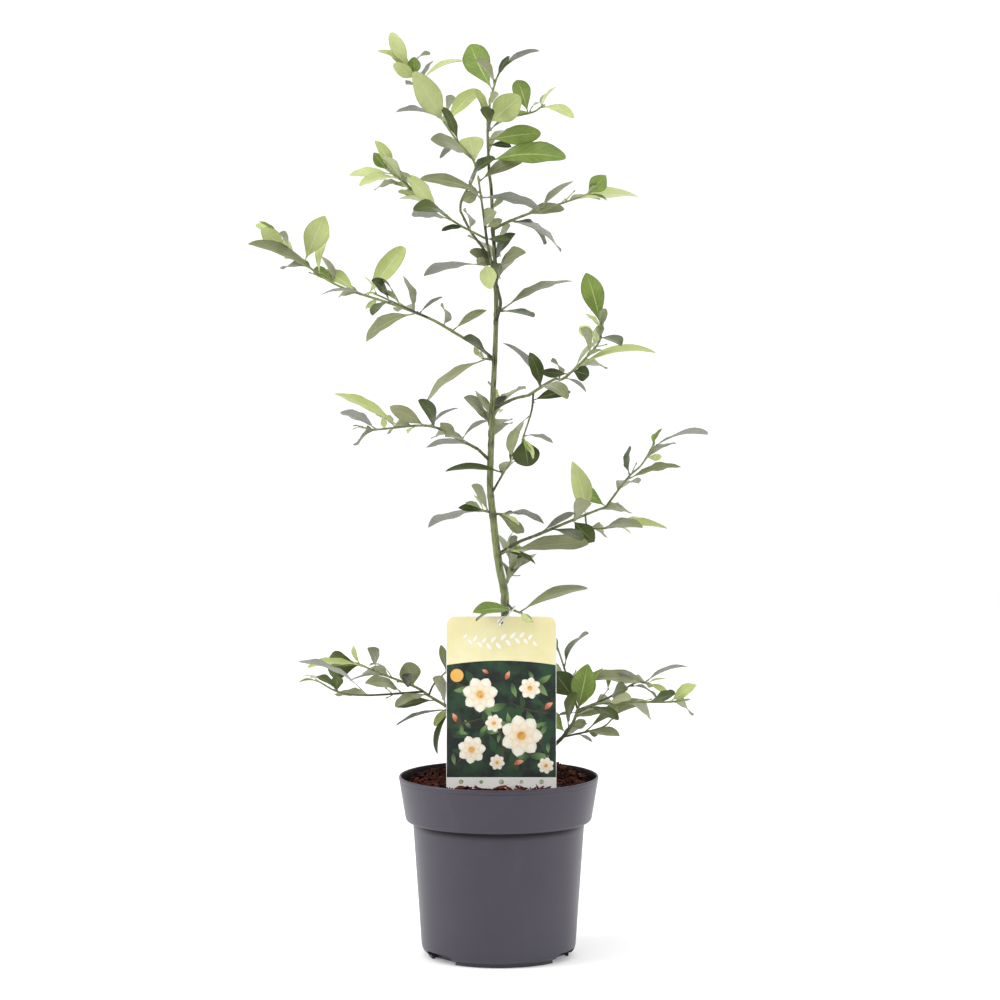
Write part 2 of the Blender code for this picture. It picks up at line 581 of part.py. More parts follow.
def leaf_axes(heading, tilt, shown, width, tone):
    """The leaf's unit vectors across, up from its blade and along its midrib.

    The blade rolls round its midrib until only the shown width is seen from the front, with the
    upper side in front, or the underside for tone G, and its upper side turned to the sky.
    """
    turn, lean = math.radians(heading), math.radians(tilt)
    along = Vector((math.cos(turn) * math.cos(lean), math.sin(lean), math.sin(turn) * math.cos(lean)))
    flat = Vector((-math.sin(turn), 0, math.cos(turn)))
    deep = along.cross(flat)
    roll = math.acos(min(1, shown / width))
    best = None
    for angle in (roll, -roll, math.pi - roll, math.pi + roll):
        across = flat * math.cos(angle) + deep * math.sin(angle)
        up = along.cross(across)
        front = up.y if tone == "G" else -up.y
        if front >= -1e-9 and (best is None or up.z > best[1].z):
            best = (across, up, along)
    return best


def leaf_mesh(name, root, axes, length, width, arch, cup):
    """A leaf blade: a four-sided ball drawn out along the midrib.

    Its rings are the stations from root to tip. The midrib bows up by arch, and the edges rise
    above the midrib by cup, both as shares of the leaf's length and half width.
    """
    across, up, along = axes
    rings = len(LEAF_STATIONS) - 1
    shape = bmesh.new()
    bmesh.ops.create_uvsphere(shape, u_segments=4, v_segments=rings, radius=1)
    for vert in shape.verts:
        ring = rings - round(math.acos(max(-1, min(1, vert.co.z))) * rings / math.pi)
        station = LEAF_STATIONS[ring]
        half = width / 2 * LEAF_WIDTHS[ring]
        round_ring = math.hypot(vert.co.x, vert.co.y)
        side, face = (vert.co.x / round_ring, vert.co.y / round_ring) if 0 < ring < rings else (0, 0)
        thick = max(0.5 * MM, length * LEAF_THICKNESS / 2)
        lift = 4 * station * (1 - station) * arch * length + abs(side) * cup * half + face * thick
        vert.co = root + along * station * length + across * side * half + up * lift
    return mesh_from(name, shape)


def tree_of(mesh):
    return BVHTree.FromPolygons([v.co for v in mesh.vertices], [p.vertices for p in mesh.polygons])


def stem_parts(name, spec, start, straight):
    """The stem of a mass and its side twigs: (points, spec) of each, with the main stem first."""
    points = smooth_points(grown_route(start, spec["runs"]), 2)
    if straight:
        points[:1] = [start + straight * GAP, start + straight * (GAP + 1.5 * MM)]
    grown = [(name, points, spec)]
    for number, twig in enumerate(spec.get("twigs", ())):
        root = place_on(points, twig["at"] / 100)
        grown += stem_parts(f"{name}_twig_{number}", twig, root, None)
    return grown


def leaves_of(spec, points, rng):
    """Each leaf of a stem as (share, heading, length, shown width, tone, tilt), by the seeded rule.

    The listed leaves come first, tilted in depth at random as far as the longest leaf allows.
    The fill leaves point mostly away from the front or towards it, so the crown is full all round.
    """
    for leaf in spec["leaves"]:
        share, heading, length, shown, tone = leaf[:5]
        most = min(MOST_TILT, math.degrees(math.acos(length / LONGEST_LEAF)))
        tilt = max(-most, min(most, rng.gauss(0, TILT_SPREAD)))
        yield share, heading, length, shown, tone, leaf[5] if len(leaf) > 5 else tilt
    trend = points[-1] - points[0]
    lean = math.degrees(math.atan2(trend.z, trend.x))
    count = spec.get("fill", 0)
    for number in range(count):
        share = 100 * (number + 0.7) / (count + 0.4)
        heading = lean + rng.uniform(15, 65) * (1 if number % 2 else -1)
        tilt = rng.uniform(48, 72) * (1 if rng.random() < 0.6 else -1)
        length = rng.uniform(44, 66) * math.cos(math.radians(tilt))
        yield share, heading, length, rng.uniform(4, 9), "D", tilt


def leaf_shape(name, points, leaf, rng):
    """The mesh of one leaf, rooted in the middle of its stem."""
    share, heading, length, shown, tone, tilt = leaf
    arch, cup = rng.uniform(0.02, 0.09), rng.uniform(0.15, 0.4)
    real = length / math.cos(math.radians(tilt))
    width = max(shown, LEAF_BREADTH * real)
    axes = leaf_axes(heading, tilt, shown, width, tone)
    return leaf_mesh(name, place_on(points, share / 100), axes, real * MM, width * MM, arch, cup)


def make_stems(tips, sleeve, trunk_points):
    """The stems of every mass, as {name: (stems with their points, collection of pieces, first stem)}."""
    trunk_tip = (trunk_points[-1], (trunk_points[-1] - trunk_points[-2]).normalized())
    places = dict(tips, trunk=trunk_tip)
    masses = {}
    for name, spec in MASSES.items():
        if "bough" in spec:
            start, straight = places[spec["bough"]]
        else:
            start, straight = trunk_point(spec["at"]), None
        grown = stem_parts(name, spec, start, straight)
        pieces = new_collection(name + "_pieces")
        tubes = [tube(stem, points, taper(points, twig["radii"]), 0, pieces) for stem, points, twig in grown]
        if not straight:
            cut(tubes[0], sleeve)
            apply_modifiers(tubes[0])
        masses[name] = (grown, pieces, tubes[0])
    return masses


def leaves_for(grown, seed, near):
    """Each leaf of a mass as (its name, its mesh, its search tree), or None for one that finds no room."""
    rng = random.Random(seed)
    for stem, points, spec in grown:
        for number, leaf in enumerate(leaves_of(spec, points, rng)):
            mesh = leaf_shape("leaf", points, leaf, rng)
            tree = tree_of(mesh)
            clear = not any(tree.overlap(other) for other in near)
            yield (f"{stem}_leaf_{number}", mesh, tree) if clear else None


def grow_leaves(masses, solids):
    """Puts the leaves on every mass, each clear of the limbs and of the other masses."""
    fixed = [tree_of(evaluated_mesh(thing)) for thing in solids]
    own = {name: [tree_of(o.data) for o in pieces.objects] for name, (_, pieces, _) in masses.items()}
    for name, (grown, pieces, _) in masses.items():
        near = fixed + [tree for other, trees in own.items() if other != name for tree in trees]
        for leaf in leaves_for(grown, MASSES[name]["seed"], near):
            if leaf:
                new_object(leaf[0], leaf[1], pieces)
                own[name].append(leaf[2])


def join_masses(masses, parts):
    for number, (name, (_, pieces, main_stem)) in enumerate(masses.items()):
        pieces.objects.unlink(main_stem)
        parts.objects.link(main_stem)
        join_collection(main_stem, pieces, "EXACT")
        main_stem.data.materials.clear()
        main_stem.data.materials.append(
            material(name + "_green", LEAF_GREENS[number % len(LEAF_GREENS)], 0.45)
        )


def main():
    clear_scene()
    parts = new_collection("potted_magnolia")
    cutters = new_collection("cutters")
    make_pot(parts, cutters)
    make_soil(parts, cutters)
    make_label(parts, cutters)
    sleeve, trunk_points = make_trunk(parts, cutters)
    tips = make_boughs(parts, sleeve)
    solids = list(parts.objects) + [sleeve]
    masses = make_stems(tips, sleeve, trunk_points)
    grow_leaves(masses, solids)
    join_masses(masses, parts)


main()
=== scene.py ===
import math
import random

import bmesh
import bpy
import numpy as np
from mathutils import Matrix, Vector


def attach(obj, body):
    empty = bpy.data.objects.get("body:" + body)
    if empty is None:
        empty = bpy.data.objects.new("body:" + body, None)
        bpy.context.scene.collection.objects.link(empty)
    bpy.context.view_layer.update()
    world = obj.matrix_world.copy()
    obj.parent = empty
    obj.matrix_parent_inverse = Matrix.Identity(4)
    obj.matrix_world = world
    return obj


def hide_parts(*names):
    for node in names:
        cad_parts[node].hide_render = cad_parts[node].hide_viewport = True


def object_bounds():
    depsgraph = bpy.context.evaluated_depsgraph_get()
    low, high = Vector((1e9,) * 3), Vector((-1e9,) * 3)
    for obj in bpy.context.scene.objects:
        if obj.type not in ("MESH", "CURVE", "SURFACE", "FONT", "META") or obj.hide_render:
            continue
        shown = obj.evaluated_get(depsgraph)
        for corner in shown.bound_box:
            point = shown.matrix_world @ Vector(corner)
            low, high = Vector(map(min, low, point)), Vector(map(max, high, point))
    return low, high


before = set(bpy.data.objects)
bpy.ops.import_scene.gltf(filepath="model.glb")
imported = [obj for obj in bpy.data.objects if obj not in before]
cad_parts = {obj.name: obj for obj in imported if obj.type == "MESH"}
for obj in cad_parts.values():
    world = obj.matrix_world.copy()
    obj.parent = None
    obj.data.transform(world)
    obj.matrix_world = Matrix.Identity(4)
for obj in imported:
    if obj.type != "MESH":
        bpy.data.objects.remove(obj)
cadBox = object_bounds()
print("frame loaded:", len(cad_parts), "nodes")

mm = 0.001
scene = bpy.context.scene


# Small vector helpers, all on whole arrays whose last axis is x, y, z.

def unit(vectors):
    # each vector divided by its own length
    return vectors / np.maximum(np.linalg.norm(vectors, axis=-1, keepdims=True), 1e-12)


def lengthsAlong(points):
    # running length of a route, as a share from 0 to 1
    steps = np.r_[0, np.cumsum(np.linalg.norm(np.diff(points, axis=0), axis=1))]
    return steps / steps[-1]


def lengthOf(points):
    return np.linalg.norm(np.diff(points, axis=0), axis=1).sum()


def placeOn(points, share):
    # the point at this share of the route's length, on straight lines between its points
    shares = lengthsAlong(points)
    return np.stack([np.interp(share, shares, points[:, axis]) for axis in range(3)], axis=-1)


def smoothPoints(joints, perRun):
    # Catmull-Rom curve: each stretch b to c bends by its neighbours a and d, at perRun even steps
    knots = np.vstack([2 * joints[0] - joints[1], joints, 2 * joints[-1] - joints[-2]])
    a, b, c, d = (knots[i:len(knots) - 3 + i, None] for i in range(4))
    t = (np.arange(1, perRun + 1) / perRun)[None, :, None]
    curve = b + ((c - a) * t + (2 * a - 5 * b + 4 * c - d) * t**2 + (3 * b - a - 3 * c + d) * t**3) / 2
    return np.vstack([joints[0], curve.reshape(-1, 3)])


def evenly(points, step):
    # the same route with a point every step
    return placeOn(points, np.linspace(0, 1, max(3, round(lengthOf(points) / step) + 1)))


# A shape is a dictionary: points, quads, tris, marks (named values on the points) and finish (one
# number for each quad, then each tri).

def gridQuads(rows, columns, closed):
    # quads between neighbours of a rows by columns grid, wrapped round its columns when closed
    row, column = np.meshgrid(np.arange(rows - 1), np.arange(columns - (not closed)), indexing="ij")
    here, beside = row * columns + column, row * columns + (column + 1) % columns
    return np.stack([here, beside, beside + columns, here + columns], axis=-1).reshape(-1, 4)


def tubeShape(rings, marks=None):
    # a closed skin over rings of points (row, side, xyz), each end closed to a pole at its middle
    rows, sides = rings.shape[:2]
    poles = rings[[0, -1]].mean(axis=1)
    side = np.arange(sides)
    after = (side + 1) % sides
    last = (rows - 1) * sides
    near = np.stack([after, side, np.full(sides, rows * sides)], axis=1)
    far = np.stack([last + side, last + after, np.full(sides, rows * sides + 1)], axis=1)
    held = {}
    for name, values in (marks or {}).items():
        flat = values.reshape(rows * sides, -1)
        ends = values[[0, -1]].reshape(2, sides, -1).mean(axis=1)
        held[name] = np.vstack([flat, ends])
    quads = gridQuads(rows, sides, True)
    return dict(points=np.vstack([rings.reshape(-1, 3), poles]), quads=quads,
                tris=np.vstack([near, far]), marks=held, finish=np.zeros(len(quads) + 2 * sides, int))


def joined(shapes):
    # all the shapes as one, with their numbers of points carried on
    starts = np.cumsum([0] + [len(s["points"]) for s in shapes[:-1]])
    quadCounts = [len(s["quads"]) for s in shapes]
    return dict(
        points=np.vstack([s["points"] for s in shapes]),
        quads=np.vstack([s["quads"] + start for s, start in zip(shapes, starts)]),
        tris=np.vstack([s["tris"] + start for s, start in zip(shapes, starts)]),
        marks={name: np.vstack([s["marks"][name] for s in shapes]) for name in shapes[0]["marks"]},
        finish=np.concatenate([s["finish"][:n] for s, n in zip(shapes, quadCounts)]
                              + [s["finish"][n:] for s, n in zip(shapes, quadCounts)]))


def addObject(name, data):
    made = bpy.data.objects.new(name, data)
    scene.collection.objects.link(made)
    return made


def finishPiece(piece, finishes, crease, slotName, *replaced):
    # finishes, shading with edges sharper than the crease kept, the piece hung on the root body and the parts
    # it replaces hidden
    for finish in finishes:
        piece.data.materials.append(finish)
    piece.data.shade_smooth()
    piece.data.set_sharp_from_angle(angle=math.radians(crease))
    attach(piece, "root")
    if replaced:
        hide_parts(*replaced)


def makePiece(name, shape, finishes, slotName, replaced=(), crease=40):
    # puts a shape's arrays into a mesh object that rides on the root body
    quads, tris = shape["quads"], shape["tris"]
    corners = np.concatenate([quads.ravel(), tris.ravel()])
    starts = np.concatenate([np.arange(len(quads)) * 4, len(quads) * 4 + np.arange(len(tris)) * 3])
    mesh = bpy.data.meshes.new(name)
    mesh.vertices.add(len(shape["points"]))
    mesh.vertices.foreach_set("co", shape["points"].astype(np.float32).ravel())
    mesh.loops.add(len(corners))
    mesh.loops.foreach_set("vertex_index", corners.astype(np.int32))
    mesh.polygons.add(len(starts))
    mesh.polygons.foreach_set("loop_start", starts.astype(np.int32))
    mesh.polygons.foreach_set("material_index", shape["finish"].astype(np.int32))
    mesh.update(calc_edges=True)
    for mark, values in shape["marks"].items():
        vector = values.shape[1] == 3
        made = mesh.attributes.new(mark, "FLOAT_VECTOR" if vector else "FLOAT", "POINT")
        made.data.foreach_set("vector" if vector else "value", values.astype(np.float32).ravel())
    finishPiece(addObject(name, mesh), finishes, crease, slotName, *replaced)


def framesAlong(points):
    # two vectors square to the route and to each other, set out from the axis it leans to least
    along = unit(np.gradient(points, axis=0))
    reference = np.eye(3)[np.argmin(np.abs(along.mean(axis=0)))]
    first = unit(reference - along * (along @ reference)[:, None])
    return first, np.cross(along, first)


def ringsRound(points, radii, sides, relief=None):
    # rings square to the route: middle + (first cos a + second sin a) (radius + relief), and for each
    # point its flow: where it lies round the route and how far along
    first, second = framesAlong(points)
    angle = np.linspace(0, math.tau, sides, endpoint=False)
    out = first[:, None] * np.cos(angle)[:, None] + second[:, None] * np.sin(angle)[:, None]
    travelled = lengthsAlong(points) * lengthOf(points)
    reach = np.broadcast_to(np.asarray(radii)[:, None], (len(points), sides))
    if relief is not None:
        reach = reach + relief(travelled[:, None], angle[None, :])
    rings = points[:, None] + out * reach[..., None]
    flow = np.stack([np.cos(angle)[None] * reach, np.sin(angle)[None] * reach,
                     np.broadcast_to(travelled[:, None], reach.shape)], axis=-1)
    return rings, flow


# Shader helpers. A Signal is a value in a shader's tree that takes part in sums like a number.

def feed(socket, source):
    # a socket takes a link from a signal, or a plain value; a colour of three numbers is opaque
    if isinstance(source, Signal):
        source.tree.links.new(source.socket, socket)
    else:
        socket.default_value = (*source, 1) if socket.type == "RGBA" else source


def newNode(tree, kind, inputs=(), **settings):
    # a node with its settings, then its inputs fed by their names or numbers
    made = tree.nodes.new(kind)
    for key, value in settings.items():
        setattr(made, key, value)
    for key, value in dict(inputs).items():
        feed(made.inputs[key], value)
    return made


class Signal:
    def __init__(self, socket):
        self.socket, self.tree = socket, socket.id_data

    def calculate(self, operation, *others):
        inputs = dict(enumerate((self, *others)))
        return Signal(newNode(self.tree, "ShaderNodeMath", inputs, operation=operation).outputs[0])

    def __add__(self, other):
        return self.calculate("ADD", other)

    def __sub__(self, other):
        return self.calculate("SUBTRACT", other)

    def __mul__(self, other):
        return self.calculate("MULTIPLY", other)

    def __truediv__(self, other):
        return self.calculate("DIVIDE", other)

    def __pow__(self, other):
        return self.calculate("POWER", other)

    def __abs__(self):
        return self.calculate("ABSOLUTE")

    def mix(self, first, second):
        # the first colour where this is 0, and the second where it is 1
        inputs = {0: self, 6: first, 7: second}
        return Signal(newNode(self.tree, "ShaderNodeMix", inputs, data_type="RGBA").outputs[2])

    def spread(self, low, high, toLow=0.0, toHigh=1.0):
        # maps low..high to toLow..toHigh, smoothly and within them
        inputs = {"Value": self, "From Min": low, "From Max": high, "To Min": toLow, "To Max": toHigh}
        made = newNode(self.tree, "ShaderNodeMapRange", inputs, interpolation_type="SMOOTHSTEP")
        return Signal(made.outputs[0])


def splitVector(vector):
    made = newNode(vector.tree, "ShaderNodeSeparateXYZ", {0: vector})
    return [Signal(socket) for socket in made.outputs]


def noise(vector, scale, detail=2.0, roughness=0.5):
    inputs = dict(Vector=vector, Scale=scale, Detail=detail, Roughness=roughness)
    return Signal(newNode(vector.tree, "ShaderNodeTexNoise", inputs).outputs[0])


def newGroup(name, inputs, outputs):
    # a shader node group with named inputs (kind, value) and named numbers as outputs
    group = bpy.data.node_groups.new(name, "ShaderNodeTree")
    for socket, (kind, value) in inputs.items():
        made = group.interface.new_socket(socket, in_out="INPUT", socket_type="NodeSocket" + kind)
        if value is not None:
            made.default_value = value
    for socket in outputs:
        group.interface.new_socket(socket, in_out="OUTPUT", socket_type="NodeSocketFloat")
    given = {socket.name: Signal(socket) for socket in group.nodes.new("NodeGroupInput").outputs}
    return group, given, group.nodes.new("NodeGroupOutput").inputs


def useGroup(group, tree, **inputs):
    made = newNode(tree, "ShaderNodeGroup", inputs, node_tree=group)
    return [Signal(socket) for socket in made.outputs]


def makeMottle():
    # Patches: noise of a given size, spread between two edges. Stretch lengthens them along an axis.
    group, given, gives = newGroup(
        "mottle", dict(Vector=("Vector", None), Scale=("Float", 40.0), Low=("Float", 0.4),
                       High=("Float", 0.6), Stretch=("Vector", (1, 1, 1))), ["Mask"])
    inputs = {0: given["Vector"], 1: given["Stretch"]}
    scaled = Signal(newNode(group, "ShaderNodeVectorMath", inputs, operation="MULTIPLY").outputs[0])
    feed(gives["Mask"], noise(scaled, given["Scale"], 3.0, 0.55).spread(given["Low"], given["High"]))
    return group


def makeVeins():
    # On a blade, x is the side from -1 to 1 and y the share along it. Midrib is a line that narrows
    # to the tip, and Veins slant forward from it on both sides.
    group, given, gives = newGroup(
        "blade_veins", dict(Blade=("Vector", None), Count=("Float", 9.0), Slant=("Float", 2.6)),
        ["Midrib", "Veins"])
    across, share, _ = splitVector(given["Blade"])
    side = abs(across)
    width = share.spread(0.1, 1.0, 0.11, 0.03)
    feed(gives["Midrib"], (side / width).spread(1.0, 0.35))
    wave = (share * given["Count"] - side**0.8 * given["Slant"]).calculate("FRACT")
    line = abs(wave - 0.5).spread(0.12, 0.02)
    feed(gives["Veins"], line * side.spread(0.98, 0.7))
    return group


def makeDust():
    # Pale dust: more of it on faces that look up, broken by fine noise.
    group, given, gives = newGroup(
        "dust", dict(Vector=("Vector", None), Amount=("Float", 0.3), Scale=("Float", 60.0)), ["Mask"])
    facing = splitVector(Signal(newNode(group, "ShaderNodeNewGeometry").outputs["Normal"]))
    upward = facing[2].spread(-0.1, 0.9, 0.25, 1.0)
    grains = noise(given["Vector"], given["Scale"], 6.0, 0.7).spread(0.42, 0.7)
    feed(gives["Mask"], upward * grains * given["Amount"])
    return group


mottleGroup, veinsGroup, dustGroup = makeMottle(), makeVeins(), makeDust()


def patches(vector, scale, low=0.4, high=0.6, stretch=(1, 1, 1)):
    edges = dict(Low=low, High=high, Stretch=stretch)
    return useGroup(mottleGroup, vector.tree, Vector=vector, Scale=scale, **edges)[0]


def dustOn(vector, amount, scale):
    return useGroup(dustGroup, vector.tree, Vector=vector, Amount=amount, Scale=scale)[0]


def newFinish(name, roughness, specular):
    # a material, its shader's sockets, and the place on the object as a signal
    finish = bpy.data.materials.new(name)
    finish.use_nodes = True
    sockets = finish.node_tree.nodes["Principled BSDF"].inputs
    feed(sockets["Roughness"], roughness)
    feed(sockets["Specular IOR Level"], specular)
    return finish, sockets, Signal(newNode(finish.node_tree, "ShaderNodeTexCoord").outputs["Object"])


def readMark(tree, name, output="Fac"):
    return Signal(newNode(tree, "ShaderNodeAttribute", attribute_name=name).outputs[output])


def bumpFrom(sockets, height, strength, distance):
    inputs = dict(Strength=strength, Distance=distance, Height=height)
    feed(sockets["Normal"], Signal(newNode(height.tree, "ShaderNodeBump", inputs).outputs[0]))


def layered(base, layers, palette):
    # a colour with others over it, each by its own share
    for share, tone in layers:
        base = share.mix(base, palette[tone])
    return base


# The camera stands where the photograph was taken from, over a plain pale floor in soft light.

view = dict(place=(0.00124, -3.964, 0.783), pitch=85, lens=151.2, sensor=36)
stage = dict(reach=40, colour=(0.93, 0.93, 0.93), clouded=(0.91605, 0.91605, 0.91605),
             glowFrom=(1.2, 7.0), glow=(0.2, 0.5))
lamps = dict(
    left=dict(at=(-2.4, -0.75, 1.95), aim=(0, 0, 0.45), size=(1.4, 2.2), power=53),
    right=dict(at=(2.3, -0.9, 1.8), aim=(0, 0, 0.45), size=(1.4, 2.2), power=27),
    top=dict(at=(-0.3, -0.9, 2.7), aim=(0, 0, 0.5), size=(1.6, 1.6), power=17),
    rear=dict(at=(0.4, 2.1, 1.7), aim=(0, 0, 0.6), size=(2.6, 1.6), power=13),
)
air = dict(turn=(-0.95, -0.2), strength=(0.3, 0.74), lowBand=(0.14, 0.06), lowTurn=(-0.5, 0.1),
           lowStrength=(0.0, 0.36))


def makeCamera():
    camera = bpy.data.cameras.new("camera")
    camera.lens, camera.sensor_width = view["lens"], view["sensor"]
    scene.camera = addObject("camera", camera)
    scene.camera.location = view["place"]
    scene.camera.rotation_euler = (math.radians(view["pitch"]), 0, 0)


def makeStage():
    # a wide floor of pale paper that glows a little, and more so far out, where the lamps don't reach
    reach = stage["reach"]
    mesh = bpy.data.meshes.new("stage_floor")
    mesh.from_pydata([(-reach, -reach, 0), (reach, -reach, 0), (reach, reach, 0), (-reach, reach, 0)],
                     [], [(0, 1, 2, 3)])
    finish, sockets, at = newFinish("stage_paper", 0.9, 0.1)
    feed(sockets["Base Color"], patches(at, 3.0).mix(stage["colour"], stage["clouded"]))
    away = Signal(newNode(at.tree, "ShaderNodeVectorMath", {0: at}, operation="LENGTH").outputs["Value"])
    feed(sockets["Emission Color"], (1, 1, 1))
    feed(sockets["Emission Strength"], away.spread(*stage["glowFrom"], *stage["glow"]))
    mesh.materials.append(finish)
    floor = addObject("stage_floor", mesh)


def makeLamps():
    for name, lamp in lamps.items():
        light = bpy.data.lights.new("lamp_" + name, "AREA")
        light.shape = "RECTANGLE"
        light.size, light.size_y = lamp["size"]
        light.energy = lamp["power"]
        back = unit(np.subtract(lamp["at"], lamp["aim"]))
        right = unit(np.cross((0, 0, 1), back))
        turn = Matrix(np.stack([right, np.cross(back, right), back], axis=1).tolist()).to_4x4()
        addObject("lamp_" + name, light).matrix_world = Matrix.Translation(lamp["at"]) @ turn


def makeAir():
    # the air is darker behind the camera than at the sides, and pale low down beyond the floor
    scene.world = bpy.data.worlds.new("studio_air")
    scene.world.use_nodes = True
    tree = scene.world.node_tree
    sockets = tree.nodes["Background"].inputs
    feed(sockets["Color"], (1, 1, 1))
    _, depth, height = splitVector(Signal(newNode(tree, "ShaderNodeTexCoord").outputs["Generated"]))
    low = abs(height).spread(*air["lowBand"]) * depth.spread(*air["lowTurn"], *air["lowStrength"])
    feed(sockets["Strength"], depth.spread(*air["turn"], *air["strength"]) + low)


makeCamera()
makeStage()
makeLamps()
makeAir()
scene.view_settings.view_transform = "Standard"
print("camera, floor and light set")


# Pot: a turned profile of (radius, height, rounding), inside first, in millimetres.

pot = dict(
    rimRadius=95, height=173, bandFootRadius=88.4, bandFootZ=130, wallTopRadius=81.7,
    wallFootRadius=73, wallFootZ=3.3, footRadius=67, wall=1.7, floorZ=5, grooveDrop=4,
    notchAngles=(-144, -24, 96), notchWidth=38, notchTop=9, notchDeep=18, notchCorner=1.6, segments=176,
    dark=(0.035, 0.0295, 0.047), pale=(0.041, 0.0355, 0.054), dust=(0.13, 0.125, 0.13),
    # shade, shadeTop and shadeFront place a painted shadow under the rim band; one dark colour paints it and
    # the compost stain
    stainAndShadow=(0.010, 0.006, 0.005), shade=(0.122, 0.129), shadeTop=(0.1312, 0.1302),
    shadeFront=(-0.01, -0.06, 0.6, 1.0), bandSlope=0.1535, bandStart=0.06845,
    innerFace=(-0.0011, -0.0016), innerFoot=(0.132, 0.14))


def potProfile():
    # the inside from the middle of its floor to the lip, then the outside down to the underside
    rim, top, wall = pot["rimRadius"], pot["height"], pot["wall"]
    bandR, bandZ, wallTop = pot["bandFootRadius"], pot["bandFootZ"], pot["wallTopRadius"]
    wallFoot, wallZ, foot = pot["wallFootRadius"], pot["wallFootZ"], pot["footRadius"]
    slope = (rim - bandR) / (top - bandZ)
    groove = top - pot["grooveDrop"]
    return np.array([
        (0, pot["floorZ"], 0), (foot + 1.4, pot["floorZ"], 1.5),
        (wallFoot + 0.7 - wall, wallZ + 10, 3), (wallTop - wall, bandZ + 1.2, 1),
        (bandR - 1.3 * wall, bandZ + 2.6, 1.5), (rim - wall - 0.4, top - 1, 0.5),
        (rim - wall + 0.3, top, 0.5), (rim - 0.6, top, 0.7), (rim, top - 0.7, 0.7),
        (rim, groove + 0.6, 0.4), (rim - 0.7, groove, 0.35), (rim - 0.45, groove - 0.9, 0.4),
        (bandR + 2.5 * slope, bandZ + 2.5, 2.2), (bandR - 0.8, bandZ + 0.6, 0.9),
        (bandR - 2.5, bandZ, 0.8), (wallTop + 0.4, bandZ - 0.6, 0.5), (wallTop, bandZ - 1.6, 0.6),
        (wallFoot + 0.6, wallZ + 7, 5), (wallFoot - 0.8, wallZ + 3, 2),
        (wallFoot - 3.4, wallZ + 0.5, 1.5), (foot + 0.3, wallZ, 0.3), (foot, wallZ - 0.5, 0.3),
        (foot, 0, 0.35), (foot - 3, 0, 0.3),
        (foot - 3.4, 0.9, 0.3), (foot - 9, 0.9, 0.4), (foot - 9.5, 0.5, 0.3), (0, 0.5, 0)])


def rounded(profile, steps):
    # each corner becomes a curve between points on both its sides: (1-t)^2 p + 2t(1-t) corner + t^2 q
    places, fillet = profile[:, :2], profile[1:-1, 2]
    back, ahead = places[:-2] - places[1:-1], places[2:] - places[1:-1]
    room = 0.45 * np.minimum(np.linalg.norm(back, axis=1), np.linalg.norm(ahead, axis=1))
    reach = np.minimum(np.maximum(fillet, 0.01), room)[:, None]
    p, q = places[1:-1] + unit(back) * reach, places[1:-1] + unit(ahead) * reach
    t = np.linspace(0, 1, steps)[None, :, None]
    curve = (1 - t) ** 2 * p[:, None] + 2 * t * (1 - t) * places[1:-1, None] + t**2 * q[:, None]
    return np.vstack([places[:1], curve.reshape(-1, 2), places[-1:]])


def turnedMesh(name, profile, segments):
    # radius cos a, radius sin a, height for every point of the profile and every angle a
    angle = np.linspace(0, math.tau, segments, endpoint=False)
    points = np.empty((len(profile), segments, 3))
    points[..., 0] = profile[:, :1] * np.cos(angle)
    points[..., 1] = profile[:, :1] * np.sin(angle)
    points[..., 2] = profile[:, 1:]
    quads = gridQuads(len(profile), segments, True)
    mesh = bpy.data.meshes.new(name)
    mesh.from_pydata((points * mm).reshape(-1, 3).tolist(), [], quads.tolist())
    closeMesh(mesh)
    return mesh


def closeMesh(mesh):
    # merges seams and poles, and turns every face outwards
    shape = bmesh.new()
    shape.from_mesh(mesh)
    bmesh.ops.remove_doubles(shape, verts=shape.verts, dist=0.000002)
    bmesh.ops.dissolve_degenerate(shape, edges=shape.edges, dist=0.000002)
    bmesh.ops.recalc_face_normals(shape, faces=shape.faces)
    shape.to_mesh(mesh)
    shape.free()


def makePot():
    shell = addObject("pot_shell", turnedMesh("pot_shell", rounded(potProfile(), 4), pot["segments"]))
    cutters = []
    for angle in pot["notchAngles"]:
        # a box with rounded upright edges that cuts one drain notch into the foot
        shape = bmesh.new()
        bmesh.ops.create_cube(shape, size=1)
        size = (pot["notchDeep"] * mm, pot["notchWidth"] * mm, (pot["notchTop"] + 2) * mm, 1)
        middle = ((pot["footRadius"] + 1) * mm, 0, (pot["notchTop"] / 2 - 1) * mm)
        turn = Matrix.Rotation(math.radians(angle), 4, "Z")
        bmesh.ops.transform(shape, verts=shape.verts,
                            matrix=turn @ Matrix.Translation(middle) @ Matrix.Diagonal(size))
        upright = [e for e in shape.edges if abs(e.verts[0].co.z - e.verts[1].co.z) < 1e-6]
        bmesh.ops.bevel(shape, geom=upright, offset=pot["notchCorner"] * mm, segments=3, affect="EDGES")
        mesh = bpy.data.meshes.new("notch")
        shape.to_mesh(mesh)
        shape.free()
        cutters.append(addObject("notch", mesh))
        cut = shell.modifiers.new("notch", "BOOLEAN")
        cut.operation, cut.solver, cut.object = "DIFFERENCE", "EXACT", cutters[-1]
    graph = bpy.context.evaluated_depsgraph_get()
    shell.data = bpy.data.meshes.new_from_object(shell.evaluated_get(graph))
    shell.modifiers.clear()
    for cutter in cutters:
        bpy.data.objects.remove(cutter)
    finishPiece(shell, [potPlastic()], 32, "pot_plastic", "pot")


